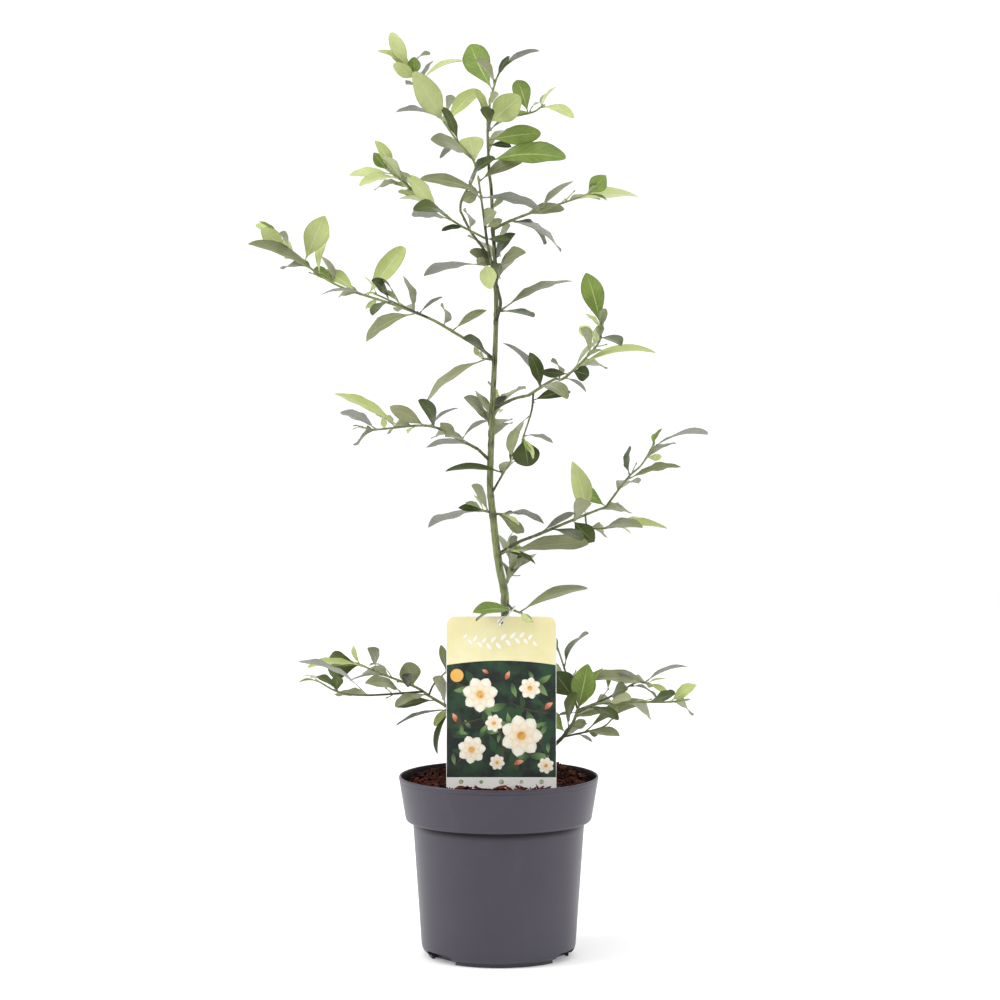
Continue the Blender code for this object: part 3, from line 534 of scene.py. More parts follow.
def potPlastic():
    # Satin moulded plastic: faintly cloudy tone, fine grain, a few light rubs and a little dust. A painted
    # shadow darkens the wall close under the rim band, most at the front; compost has stained the rim's
    # inside.
    finish, sockets, at = newFinish("anthracite_plastic", 0.42, 0.5)
    cloud = patches(at, 9.0, 0.35, 0.7)
    rubs = patches(at, 70.0, 0.6, 0.72, (1, 1, 0.25))
    dust = dustOn(at, 0.12, 55.0)
    x, y, z = splitVector(at)
    # painted shadow of the rim band on the wall below it, strongest at the front
    shade = z.spread(*pot["shade"]) * z.spread(*pot["shadeTop"]) * y.spread(*pot["shadeFront"])
    # the band's outer face lies where radius = bandSlope height + bandStart, and its inner face
    # nearer the axis
    beyond = (x * x + y * y).calculate("SQRT") - (z * pot["bandSlope"] + pot["bandStart"])
    inside = beyond.spread(*pot["innerFace"]) * z.spread(*pot["innerFoot"])
    # the same dark colour paints the shadow under the band and the real compost stain inside the rim
    layers = (rubs * 0.05, "dust"), (dust, "dust"), (shade * 0.8, "stainAndShadow"), (inside * 0.85, "stainAndShadow")
    feed(sockets["Base Color"], layered(cloud.mix(pot["dark"], pot["pale"]), layers, pot))
    # less sheen in the painted shadow under the band and on the stained inside
    feed(sockets["Specular IOR Level"], shade.calculate("MAXIMUM", inside) * -0.4 + 0.5)
    feed(sockets["Roughness"], dust * 0.4 + (rubs * 0.04 + (cloud * 0.03 + 0.36)))
    bumpFrom(sockets, noise(at, 900.0) * 0.25 + noise(at, 60.0), 0.12, 0.0004)
    return finish


makePot()
print("pot turned")


# Compost: a lumpy bed, bark chips by size and colour, and coir fibres, in millimetres.

compost = dict(
    top=165, edge=161.5, padRadius=12, bigChips=26, bigSeed=12, chips=1900, fibres=260, seed=5,
    bigReach=82, chipReach=87, fibreReach=84, bedReach=89.8, rings=76, sides=200,
    level=0.4, fallFrom=55, fallOver=35, lump=1.7, heap=7.5, heapFrom=-25, heapOver=85,
    heapLeft=-70, heapAcross=110, skirt=((85.4, 134), (79.2, 131.4), (71.9, 16), (69, 13.2), (0.5, 13)),
    dark=(0.010, 0.004, 0.003), brown=(0.040, 0.011, 0.007), red=(0.088, 0.021, 0.012),
    tan=(0.135, 0.042, 0.021),
    waves=((0.4, 23, 0.5), (2.1, 15, 0.35), (3.7, 9, 0.3), (5.2, 5.6, 0.22), (1.2, 3.4, 0.15)))
labelPlace = dict(top=(2.5, -14, 327), soilY=-38, width=104, thick=0.9, sunk=22, corner=8,
                  hole=2.6, holeDrop=5.5, holeAside=0.6)


def lumps(x, y, height):
    # uneven ground: a sum of slanted sine waves, each of (heading, length, share of the height)
    value = 0
    for turn, pitch, share in compost["waves"]:
        run = (x * math.cos(turn) + y * math.sin(turn)) / pitch * math.tau
        bent = (y * math.cos(turn) - x * math.sin(turn)) / pitch * math.tau * 0.77
        value = value + share * np.sin(run + 1.3 * np.sin(bent))
    return height * value


def groundAt(x, y):
    # the bed's height: level, falling by the pot's wall and heaped up to the back, with its lumps
    fall = np.clip((np.hypot(x, y) - compost["fallFrom"]) / compost["fallOver"], 0, 1) ** 2
    back = np.clip((y - compost["heapFrom"]) / compost["heapOver"], 0, 1)
    right = np.clip((x - compost["heapLeft"]) / compost["heapAcross"], 0, 1)
    heap = compost["heap"] * back**2 * (3 - 2 * back) * (0.65 + 0.35 * right)
    level = compost["top"] + compost["level"] - fall * (compost["top"] - compost["edge"])
    return level + heap + lumps(x, y, compost["lump"])


def makeBed():
    # rings of points from the middle to the wall, closed by a skirt and a flat underside
    skirt = np.array(compost["skirt"])
    radius = np.r_[np.linspace(0.5, compost["bedReach"], compost["rings"]), skirt[:, 0]]
    angle = np.linspace(math.tau, 0, compost["sides"], endpoint=False)
    x, y = radius[:, None] * np.cos(angle), radius[:, None] * np.sin(angle)
    z = groundAt(x, y)
    z[-len(skirt):] = skirt[:, 1:]
    finish, sockets, at = newFinish("compost_bed", 0.95, 0.1)
    colour = patches(at, 260.0, 0.4, 0.62).mix(compost["dark"], compost["brown"])
    feed(sockets["Base Color"], (patches(at, 90.0, 0.45, 0.6) * 0.5).mix(colour, compost["red"]))
    bumpFrom(sockets, noise(at, 420.0, 5.0, 0.7), 0.9, 0.0015)
    shape = tubeShape(np.stack([x, y, z], axis=-1) * mm)
    makePiece("compost_bed", shape, [finish], "bark_compost", ["soil"])


def chipFinish(name, first, second):
    # bark: streaks of two browns, rough, with a corky relief
    finish, sockets, at = newFinish(name, 0.85, 0.12)
    streaks = patches(at, 240.0, 0.38, 0.66, (1, 0.5, 1.4))
    feed(sockets["Base Color"], streaks.mix(compost[first], compost[second]))
    bumpFrom(sockets, noise(at, 700.0, 4.0, 0.65), 0.7, 0.0006)
    return finish


def bigChipPlaces():
    # the source's rule, repeated: middle, size, turn and tip of each large chip
    rng = random.Random(compost["bigSeed"])
    found = []
    while len(found) < compost["bigChips"]:
        radius = compost["bigReach"] * math.sqrt(rng.random())
        angle = rng.uniform(0, math.tau)
        x, y = radius * math.cos(angle), radius * math.sin(angle)
        size = (rng.uniform(9, 17), rng.uniform(5, 9), rng.uniform(3, 5))
        spin, tip = rng.uniform(0, math.pi), math.radians(rng.uniform(-28, 28))
        nearLabel = abs(x) < labelPlace["width"] / 2 + 6 and abs(y - labelPlace["soilY"]) < 7
        if radius < compost["padRadius"] + 8 or nearLabel:
            continue
        z = compost["top"] + rng.uniform(-0.6, 1) - 2.2 * (radius > 70)
        found.append((x, y, z, *size, spin, tip))
    return np.array(found)


def smallChipPlaces(rng, count):
    # shards strewn over the bed, turned at random, the longer ones flatter
    radius = compost["chipReach"] * np.sqrt(rng.random(count))
    angle = rng.uniform(0, math.tau, count)
    x, y = radius * np.cos(angle), radius * np.sin(angle)
    long = rng.gamma(4.0, 1.6, count).clip(3, 15)
    size = np.stack([long, long * rng.uniform(0.3, 0.6, count), long * rng.uniform(0.12, 0.3, count)], axis=1)
    z = groundAt(x, y) + rng.uniform(-0.2, 2.1, count)
    found = np.column_stack([x, y, z, size, rng.uniform(0, math.tau, count), rng.normal(0, 0.45, count)])
    leanY = labelPlace["soilY"] + (z - compost["top"]) * 0.15
    card = (np.abs(x) < labelPlace["width"] / 2 + 2) & (np.abs(y - leanY) < 1.2 + long * 0.35)
    stem = np.hypot(x - 6, y) < 7.5 + long * 0.3
    reach = np.hypot(x, y) + long * 0.5 > 91
    return found[~(card | stem | reach)]


def chipShapes(places, rng):
    # each chip is a slab of 5 rings of 6 points, its long way along x, pushed about at random, then
    # tipped and spun
    def turned(first, second, angle):
        cos, sin = np.cos(angle), np.sin(angle)
        return first * cos - second * sin, first * sin + second * cos

    plump = np.array([0.45, 0.9, 1.0, 0.85, 0.3])[None, :, None, None]
    turn = np.linspace(0, math.tau, 6, endpoint=False) + 0.4
    ring = np.stack([np.zeros(6), np.cos(turn), np.sin(turn)], axis=-1)
    local = np.zeros((len(places), 5, 6, 3)) + ring * plump
    local[..., 0] += np.linspace(-1, 1, 5)[None, :, None]
    local *= 1 + rng.normal(0, 0.16, local.shape)
    local[..., 2] += 0.35 * (local[..., 0] ** 2) * rng.normal(0, 1, (len(places), 1, 1))
    local *= places[:, None, None, 3:6] / 2
    spin, tip = places[:, 6, None, None], places[:, 7, None, None]
    x, y, z = np.moveaxis(local, -1, 0)
    y, z = turned(y, z, tip)
    x, z = turned(x, z, tip * 0.8)
    x, y = turned(x, y, spin)
    rings = np.stack([x, y, z], axis=-1) + places[:, None, None, :3]
    return [tubeShape(one * mm) for one in rings]


def fibreShapes(rng, count):
    # coir: hair-thin bent tubes, a parabola from a root in the bed to a tip that leans over
    radius = compost["fibreReach"] * np.sqrt(rng.random(count))
    angle = rng.uniform(0, math.tau, count)
    root = np.stack([radius * np.cos(angle), radius * np.sin(angle)], axis=1)
    heading, long = rng.uniform(0, math.tau, count), rng.uniform(5, 16, count)
    rise = rng.uniform(-1.0, 4.5, count)
    t = np.linspace(0, 1, 7)
    made = []
    for at, turn, length, lift in zip(root, heading, long, rise):
        way = np.array([math.cos(turn), math.sin(turn)])
        bend = np.array([-way[1], way[0]]) * length * 0.25 * math.sin(turn * 7)
        flat = at + way * length * t[:, None] + bend * (t**2)[:, None]
        nearLabel = abs(flat[:, 1] - labelPlace["soilY"] + 12).min() < 16
        if np.hypot(*flat.T).max() > 90 or (nearLabel and abs(at[0]) < labelPlace["width"] / 2 + 8):
            continue
        z = groundAt(flat[:, 0], flat[:, 1]) + 1.2 + lift * 4 * t * (1 - t) + max(lift, 0) * t**2
        route = np.column_stack([flat, z]) * mm
        made.append(tubeShape(ringsRound(route, np.linspace(0.26, 0.12, 7) * mm, 4)[0]))
    return made


def makeCompost():
    makeBed()
    rng = np.random.default_rng(compost["seed"])
    big = chipShapes(bigChipPlaces(), rng)
    small = chipShapes(smallChipPlaces(rng, compost["chips"]), rng)
    fifth = len(small) // 5
    for kind, paler, shapes in (("dark", "brown", big[::3] + small[:2 * fifth]),
                                ("brown", "red", big[1::3] + small[2 * fifth:4 * fifth]),
                                ("red", "tan", big[2::3] + small[4 * fifth:])):
        finish = chipFinish(f"bark_{kind}", kind, paler)
        makePiece(f"bark_chips_{kind}", joined(shapes), [finish], "bark_compost", crease=28)
    fibres = joined(fibreShapes(rng, compost["fibres"]))
    makePiece("coir_fibres", fibres, [chipFinish("coir", "red", "tan")], "bark_compost")


makeCompost()
print("compost strewn")


# Label: a thin card with round upper corners and a tie hole. Its print is a plain pattern of
# rosettes, leaves and dots in thin layers of ink. Places are millimetres from the top edge's middle.

labelPrint = dict(
    ink=0.05, headerDrop=42, headerBow=4.2, fieldDrop=152, rim=0.5, sheen=0.34, holeRim=0.5,
    grain=(0.35, 0.3, 0.24), cream=(0.80, 0.73, 0.40), creamPale=(0.86, 0.80, 0.50),
    white=(0.92, 0.90, 0.87), whiteShade=(0.88, 0.87, 0.83), whiteCool=(0.9, 0.9, 0.84),
    field=(0.012, 0.018, 0.016), fieldPale=(0.022, 0.060, 0.030),
    leafDark=(0.025, 0.070, 0.022), leafPale=(0.17, 0.27, 0.10),
    petalTip=(0.88, 0.84, 0.72), petalRoot=(0.74, 0.40, 0.17),
    petalShade=(0.62, 0.55, 0.40), petalWarm=(0.90, 0.66, 0.34), stem=(0.09, 0.035, 0.02),
    centre=(0.62, 0.28, 0.05), bud=(0.50, 0.10, 0.045), budTip=(0.75, 0.40, 0.25),
    amber=(0.80, 0.45, 0.10), amberPale=(0.84, 0.52, 0.16), mark=(0.55, 0.60, 0.42),
    rosettes=((-20, -74, 17, 0.2), (19, -113, 20, 0.9), (27, -68, 10.5, 0.5), (-28, -126, 13.5, 0.1),
              (-7, -101, 8.5, 1.3), (42, -141, 8, 0.4), (-4, -138, 7.5, 0.7)),
    buds=((4, -60, 9, 65), (41, -88, 10, 40), (-43, -100, 9, 110), (12, -140, 10, 20), (-12, -54, 7, 150)),
    stems=((-50, -60, 44, -22), (-46, -146, 60, 48), (48, -150, 66, 118), (50, -92, 46, 165),
           (-50, -104, 42, 14), (2, -150, 52, 96)),
    seal=((-42, -56, 6.2),), marks=((-38, 2.2), (-19, 1.8), (0, 2.4), (19, 1.8), (38, 2.2)),
    leafSeed=9, leafCount=64, petals=7)


def labelFrame():
    # the top edge's middle, and unit vectors along the card's width, height and front
    top = np.array(labelPlace["top"], float)
    foot = np.array([top[0], labelPlace["soilY"], compost["top"]])
    up = unit(top - foot)
    across = np.array([1.0, 0, 0])
    return top, across, up, np.cross(across, up)


def onCard(flat, lift=0.0):
    # places on the card's front, lifted off it: top + across x + up y + front (half the card + lift)
    top, across, up, front = labelFrame()
    raised = labelPlace["thick"] / 2 + lift
    return (top + flat[..., :1] * across + flat[..., 1:2] * up + front * (raised + flat[..., 2:])) * mm


def layCard(name, outlines, thick, lift, finish, *replaced):
    # outlines filled as one flat curve, extruded, laid on the card's plane and made a piece
    curve = bpy.data.curves.new(name, "CURVE")
    curve.dimensions, curve.fill_mode, curve.extrude = "2D", "BOTH", thick / 2
    for outline in outlines:
        spline = curve.splines.new("POLY")
        spline.points.add(len(outline) - 1)
        flat = np.column_stack([outline, np.zeros(len(outline)), np.ones(len(outline))])
        spline.points.foreach_set("co", flat.ravel())
        spline.use_cyclic_u = True
    holder = addObject(name, curve)
    mesh = bpy.data.meshes.new_from_object(holder.evaluated_get(bpy.context.evaluated_depsgraph_get()))
    bpy.data.objects.remove(holder)
    top, across, up, front = labelFrame()
    turn = Matrix(np.stack([across, up, front], axis=1).tolist()).to_4x4()
    mesh.transform(Matrix.Translation(((top + front * lift) * mm).tolist()) @ turn @ Matrix.Scale(mm, 4))
    closeMesh(mesh)
    finishPiece(addObject(name, mesh), [finish], 30, "label_card", *replaced)


def arc(x, y, radius, start, end, steps):
    turn = np.radians(np.linspace(start, end, steps))
    return np.stack([x + radius * np.cos(turn), y + radius * np.sin(turn)], axis=1)


def cardOutline(inset, bottom):
    half, corner = labelPlace["width"] / 2 - inset, labelPlace["corner"] - inset
    side = half - corner
    quarters = ((side, 0), (-side, 90))
    right, left = (arc(x, -inset - corner, corner, turn, turn + 90, 12) for x, turn in quarters)
    return np.vstack([right, left, [[-half, bottom], [half, bottom]]])


def holeOutline(more):
    return arc(-labelPlace["holeAside"], -labelPlace["holeDrop"], labelPlace["hole"] + more, 0, 348, 30)[::-1]


def bowedEdge(half):
    # the header's lower edge: a shallow parabola, higher in the middle, from right to left
    x = np.linspace(half, -half, 25)
    return np.stack([x, -labelPrint["headerDrop"] - labelPrint["headerBow"] * (x / half) ** 2], axis=1)


def printFinish(name, first, second, change):
    # Ink on satin card, with a faint paper grain and slight wear. Its two tones change in soft patches
    # of a given scale, or between two shares of the way from each blade's root to its tip.
    finish, sockets, at = newFinish(name, labelPrint["sheen"], 0.45)
    if isinstance(change, tuple):
        share = splitVector(readMark(at.tree, "blade", "Vector"))[1]
        cloud = (share + noise(at, 220.0, 3.0) * 0.25).spread(*change)
    else:
        cloud = patches(at, change, 0.38, 0.64)
    feed(sockets["Base Color"], dustOn(at, 0.1, 120.0).mix(cloud.mix(first, second), labelPrint["grain"]))
    grain = noise(at, 1200.0)
    feed(sockets["Roughness"], grain * 0.12 + (labelPrint["sheen"] - 0.06))
    bumpFrom(sockets, grain, 0.06, 0.0002)
    return finish


def inkBlade(x, y, angle, ahead, side, rise, base, marks):
    # one petal or leaf on the card: its upper face over (along, across), closed by a flat underside
    flat = np.stack([x + ahead * np.cos(angle) - side * np.sin(angle),
                     y + ahead * np.sin(angle) + side * np.cos(angle), rise], axis=-1)
    under = flat[:, -2:0:-1].copy()
    under[..., 2] = base
    blade = np.stack(np.broadcast_arrays(*marks, rise)[:3], axis=-1)
    return tubeShape(onCard(np.concatenate([flat, under], axis=1)),
                     dict(blade=np.concatenate([blade, blade[:, -2:0:-1]], axis=1)))


def petalShapes(x, y, size, turn):
    # a rosette of two rings: each petal a dome over (along, side), its width sin(pi s^0.9)^0.55
    s, k = np.linspace(0.02, 1, 9)[:, None], np.linspace(1, -1, 7)[None, :]
    made = []
    for ring, share in enumerate((1.0, 0.66)):
        for number in range(labelPrint["petals"]):
            angle = turn + math.tau * (number + 0.5 * ring) / labelPrint["petals"]
            half = size * share * 0.36 * np.sin(math.pi * s**0.9) ** 0.55 + 0.02
            ahead = size * share * (0.12 + 0.88 * s) + 0 * k
            rise = 0.14 + ring * 0.1 + 0.10 * (1 - k**2) * np.sin(math.pi * s) + 0.05 * s
            made.append(inkBlade(x, y, angle, ahead, half * k, rise, 0.14 * 0.3, (k, s, ring)))
    return made


def inkLeaves(places, wide, lift):
    # pointed leaves lying on the card: (x, y, length, heading) each, half width wide sin(pi s)
    s, k = np.linspace(0, 1, 9)[:, None], np.linspace(1, -1, 5)[None, :]
    made = []
    for number, (x, y, long, heading) in enumerate(places):
        half = wide * long * np.sin(math.pi * s**0.9) + 0.01
        side = half * k + 0.08 * long * np.sin(math.pi * s) * math.sin(number * 2.4)
        rise = lift + 0.05 * (1 - k**2) + 0 * s + (number % 5) * 0.012
        made.append(inkBlade(x, y, math.radians(heading), long * s, side, rise, 0.02, (k, s, number % 7)))
    return made


def inkDiscs(places, lift):
    # flat discs (x, y, radius): rings up the rim and in to the middle
    angle = np.linspace(0, math.tau, 28, endpoint=False)
    made = []
    for x, y, radius in places:
        rise, reach = np.array([0.02, lift, lift]), radius * np.array([1, 1, 0.02])
        flat = np.stack([x + reach[:, None] * np.cos(angle), y + reach[:, None] * np.sin(angle),
                         rise[:, None] + 0 * angle], axis=-1)
        made.append(tubeShape(onCard(flat)))
    return made


def shadePetals(finish):
    # petals are shaded to their sides, and the inner ring is warmer
    socket = finish.node_tree.nodes["Principled BSDF"].inputs["Base Color"]
    across, _, ring = splitVector(readMark(finish.node_tree, "blade", "Vector"))
    layers = (abs(across).spread(0.35, 1.0, 0.0, 0.5), "petalShade"), (ring * 0.3, "petalWarm")
    feed(socket, layered(Signal(socket.links[0].from_socket), layers, labelPrint))


def makeLabel():
    ink, half = labelPrint["ink"], labelPlace["width"] / 2 - labelPrint["rim"]
    top, _, up, _ = labelFrame()
    soilLine = -(top[2] - compost["top"]) / up[2]
    face = labelPlace["thick"] / 2 + ink / 2 + 0.005
    edge = bowedEdge(half)
    header = np.vstack([cardOutline(labelPrint["rim"], -60)[:-2], edge[::-1]])
    field = np.vstack([edge, [[-half, -labelPrint["fieldDrop"]], [half, -labelPrint["fieldDrop"]]]])
    card = cardOutline(0, soilLine - labelPlace["sunk"])
    white = printFinish("card_white", labelPrint["white"], labelPrint["whiteShade"], 30.0)
    cream = printFinish("ink_cream", labelPrint["cream"], labelPrint["creamPale"], 22.0)
    green = printFinish("ink_green", labelPrint["field"], labelPrint["fieldPale"], 55.0)
    layCard("label_card", [card, holeOutline(0)], labelPlace["thick"], 0, white, "label")
    layCard("label_header", [header, holeOutline(labelPrint["holeRim"])], ink, face, cream)
    layCard("label_field", [field], ink, face, green)
    garden(soilLine)


def gardenLeaves():
    # leaves strewn over the field at random, without those whose tips pass its edges
    rng = np.random.default_rng(labelPrint["leafSeed"])
    low, high = labelPrint["fieldDrop"] - 3, labelPrint["headerDrop"] + 8
    count = labelPrint["leafCount"]
    spots = np.column_stack([rng.uniform(-46, 46, count), -rng.uniform(high, low, count),
                             rng.uniform(9, 23, count), rng.uniform(0, 360, count)])
    turn = np.radians(spots[:, 3:])
    x, y = (spots[:, :2] + spots[:, 2:3] * np.hstack([np.cos(turn), np.sin(turn)])).T
    bound = labelPrint["headerDrop"] + 1.5 + labelPrint["headerBow"] * (x / 50) ** 2
    return spots[(abs(x) < 49) & (-y < labelPrint["fieldDrop"] - 2) & (-y > bound)]


def garden(soilLine):
    # the pattern on the card: leaves under rosettes, buds, a seal and a row of dots, each ink apart
    spots, rosettes = gardenLeaves(), labelPrint["rosettes"]
    level = -(labelPrint["fieldDrop"] - soilLine) / 2 + 1.5
    sprig = [(x, -23 + 2.5 * math.sin(x / 9), 9 - abs(x) / 11, 50 - 100 * (n % 2))
             for n, x in enumerate(np.arange(-36, 33, 4.4))]
    inks = (
        ("leaves_dark", "leaf_dark", inkLeaves(spots[::2], 0.2, 0.05), "leafDark", "fieldPale", (0.2, 1.1)),
        ("leaves_pale", "leaf_pale", inkLeaves(spots[1::2], 0.17, 0.09), "leafDark", "leafPale", (0.1, 1.0)),
        ("stems", "stem", inkLeaves(labelPrint["stems"], 0.017, 0.13), "stem", "fieldPale", 80.0),
        ("rosettes", "petal", [s for row in rosettes for s in petalShapes(*row)],
         "petalRoot", "petalTip", (0.0, 0.75)),
        ("centres", "centre", inkDiscs([(x, y, size * 0.2) for x, y, size, _ in rosettes], 0.4),
         "centre", "amber", 300.0),
        ("buds", "bud", inkLeaves(labelPrint["buds"], 0.24, 0.2), "bud", "budTip", (0.3, 1.1)),
        ("seal", "amber", inkDiscs(labelPrint["seal"], 0.2), "amber", "amberPale", 40.0),
        ("marks", "mark", inkDiscs([(x, level, radius) for x, radius in labelPrint["marks"]], 0.06),
         "mark", "leafPale", 200.0),
        ("sprig", "white", inkLeaves(sprig, 0.2, 0.06), "white", "whiteCool", 60.0))
    for name, ink, shapes, first, second, change in inks:
        finish = printFinish("ink_" + ink, labelPrint[first], labelPrint[second], change)
        if ink == "petal":
            shadePetals(finish)
        crease = 60 if ink == "petal" else 40
        makePiece("label_" + name, joined(shapes), [finish], "label_card", crease=crease)


# Tie: one closed loop of round plastic through the hole and round the stem.

tie = dict(wire=0.7, reach=(0, -12.5, 0), lean=(8.5, 0, 8.5), through=-41, steps=96, sides=12,
           white=(0.78, 0.79, 0.74), clouded=(0.66, 0.68, 0.60))


def makeTie():
    top, across, up, _ = labelFrame()
    reach, lean, through = np.array(tie["reach"]), np.array(tie["lean"]), math.radians(tie["through"])
    hole = top - up * labelPlace["holeDrop"] - across * labelPlace["holeAside"]
    middle = hole - reach * math.cos(through) - lean * math.sin(through)
    angle = np.linspace(0, math.tau, tie["steps"], endpoint=False)[:, None]
    route = middle + reach * np.cos(angle) + lean * np.sin(angle)
    # rings of a loop: out of the loop's middle and square to its plane, so that it closes on itself
    outward, square = unit(route - middle), unit(np.cross(reach, lean))
    turn = np.linspace(0, math.tau, tie["sides"], endpoint=False)[None, :, None]
    rings = route[:, None] + tie["wire"] * (outward[:, None] * np.cos(turn) - square * np.sin(turn))
    points = rings.reshape(-1, 3) * mm
    quads = gridQuads(tie["steps"] + 1, tie["sides"], True) % len(points)
    finish = printFinish("tie_white", tie["white"], tie["clouded"], 150.0)
    shape = dict(points=points, quads=quads, tris=np.zeros((0, 3), int), marks={},
                 finish=np.zeros(len(quads), int))
    makePiece("label_loop", shape, [finish], "tie_plastic", ["label_tie"])


makeLabel()
makeTie()
print("label printed and tied")


# Trunk and boughs: the source's limbs, with the bark's relief. Heights, headings and lengths are
# the source's own.

trunk = dict(
    bends=((165, 6), (327, 6), (350, 5), (370, 1), (398, -3), (422, -5.5), (446, -8), (465, -8),
           (531, -5.5), (607, -2.5), (661, -3.5), (692, -5.5), (729, -7), (746, -9)),
    tip=1.4, taper=0.006, flare=2.4, flareHeight=9, sides=40, seed=4,
    ages=((165, 0.9), (300, 0.5), (383, 0.42), (470, 0.46), (560, 0.62), (700, 0.68), (746, 0.5)),
    nodes=(204, 183, 232, 262, 291, 340, 352, 383, 423, 441, 473, 490, 522, 569, 606, 613, 640, 656, 692))
boughs = {
    "bough_leader": dict(at=606, radii=(1.7, 1.2), runs=(
        (75, 16, -7), (99, 12, -1), (105, 18, 0), (101, 14, -1), (103, 14, 0))),
    "bough_top_left": dict(at=656, radii=(1.4, 1.1), runs=((122, 22, 7), (127, 19, 6), (117, 22, 6))),
    "bough_high_left": dict(at=569, radii=(1.6, 1.3), runs=((142, 18, 4), (149, 20, 6))),
    "bough_mid_left": dict(at=473, radii=(1.5, 1.3), runs=((135, 17, -6),)),
    "bough_low_left": dict(at=204, radii=(1.8, 1.4), runs=((148, 27, 6), (150, 26, 6))),
    "bough_low_right": dict(at=183, radii=(2.2, 1.7), runs=((22, 27, -6), (25, 24, -4))),
    "bough_mid_right": dict(at=384, radii=(1.7, 1.4), runs=((30, 22, 6), (20, 18, 6))),
    "bough_high_right": dict(at=522, radii=(1.6, 1.3), runs=((28, 22, -7), (16, 15, -8))),
}
barkTones = dict(
    olive=(0.118, 0.145, 0.052), green=(0.245, 0.280, 0.120), grey=(0.050, 0.050, 0.028),
    dark=(0.026, 0.021, 0.014), young=(0.340, 0.420, 0.110), pore=(0.36, 0.34, 0.25))


def trunkPath(perRun):
    return smoothPoints(np.array([(x, 0, z) for z, x in trunk["bends"]], float), perRun)


def trunkPoint(height):
    path = trunkPath(2)
    return np.array([np.interp(height, path[:, 2], path[:, 0]), 0, height])


def trunkRadius(height):
    # the tip's radius, and the taper and the root flare below it
    flare = trunk["flare"] * np.exp((trunk["bends"][0][0] - height) / trunk["flareHeight"])
    return trunk["tip"] + (trunk["bends"][-1][0] - height) * trunk["taper"] + flare


def grownRoute(start, runs):
    # joints of a stem: each run adds a stretch in the front view, and a gain in depth
    heading, length, depth = np.array(runs, float).T
    turn = np.radians(heading)
    steps = np.stack([np.cos(turn) * length, depth, np.sin(turn) * length], axis=1)
    return np.vstack([start, start + np.cumsum(steps, axis=0)])


def barkRelief(seed, depth, swellings=()):
    # skin of a limb: long wrinkles that wander round it, ripples along it, and a collar at each node
    shift = np.random.default_rng(seed).uniform(0, math.tau, 6)

    def relief(travelled, angle):
        wander = angle + 0.5 * np.sin(travelled / 17 + shift[0])
        value = 0.5 * np.sin(5 * wander + shift[1] + 0.6 * np.sin(travelled / 5))
        value = value + 0.35 * np.sin(9 * wander + shift[2] + travelled / 11)
        value = value + 0.3 * np.sin(travelled / 1.9 + shift[3] + 2 * np.sin(2 * angle + shift[4]))
        value = depth * value
        for middle, height, width in swellings:
            ring = np.exp(-(((travelled - middle) / width) ** 2))
            value = value + height * ring * (1 + 0.25 * np.sin(3 * angle + shift[5]))
        return value
    return relief


def barkFinish(name):
    # green young bark: "age" 1 is old and grey with dark patches, 0 is fresh growth. "flow" runs
    # round and along the limb, so streaks follow it.
    finish, sockets, at = newFinish(name, 0.5, 0.3)
    flow = readMark(at.tree, "flow", "Vector")
    age, collar = readMark(at.tree, "age"), readMark(at.tree, "collar")
    streaks = patches(flow, 0.9, 0.36, 0.66, (1, 1, 0.12))
    spots = patches(flow, 0.32, 0.56, 0.66, (1, 1, 0.22))
    pores = patches(flow, 1.7, 0.66, 0.7, (1, 1, 0.7))
    layers = ((age.spread(0.5, 0.95, 0.0, 0.9), "grey"), (spots * age.spread(0.2, 0.6), "dark"),
              (age.spread(0.3, 0.0), "young"), (pores * 0.35, "pore"), (collar * 0.8, "dark"))
    skin = streaks.mix(barkTones["olive"], barkTones["green"])
    feed(sockets["Base Color"], layered(skin, layers, barkTones))
    feed(sockets["Roughness"], streaks * 0.2 + 0.42)
    bumpFrom(sockets, pores * 0.7 + streaks * 0.5, 0.5, 0.0004)
    return finish


def limbShape(route, radii, sides, age, seed, depth, swellings=(), collars=()):
    # a limb's skin with its marks: flow, age (given along it) and collar (dark rings at nodes)
    rings, flow = ringsRound(route, radii, sides, barkRelief(seed, depth, swellings))
    travelled, turn = flow[..., 2], np.arctan2(flow[..., 1], flow[..., 0])
    dark = np.zeros_like(travelled)
    for middle, width, share in collars:
        oneSide = 0.5 + 0.5 * np.cos(turn - 7 * middle)
        dark = np.maximum(dark, share * oneSide * np.exp(-(((travelled - middle) / width) ** 2)))
    aged = np.broadcast_to(np.asarray(age)[:, None], travelled.shape)
    return tubeShape(rings * mm, dict(flow=flow, age=aged, collar=dark))


barkSkin = barkFinish("young_bark")


def makeTrunk():
    route = evenly(trunkPath(12), 0.9)
    foot = trunk["bends"][0][0]
    nodes = [node - foot for node in trunk["nodes"]]
    rng = random.Random(trunk["seed"])
    swellings = [(at, rng.uniform(0.15, 0.38), rng.uniform(2.0, 3.4)) for at in nodes]
    collars = [(at + rng.uniform(-1, 2.5), rng.uniform(1.5, 5), rng.uniform(0.3, 0.9)) for at in nodes]
    height = route[:, 2]
    age = np.interp(height, *zip(*trunk["ages"]))
    shape = limbShape(route, trunkRadius(height), trunk["sides"], age, 1, 0.09, swellings, collars)
    makePiece("trunk_bark", shape, [barkSkin], "bark", ["trunk"])


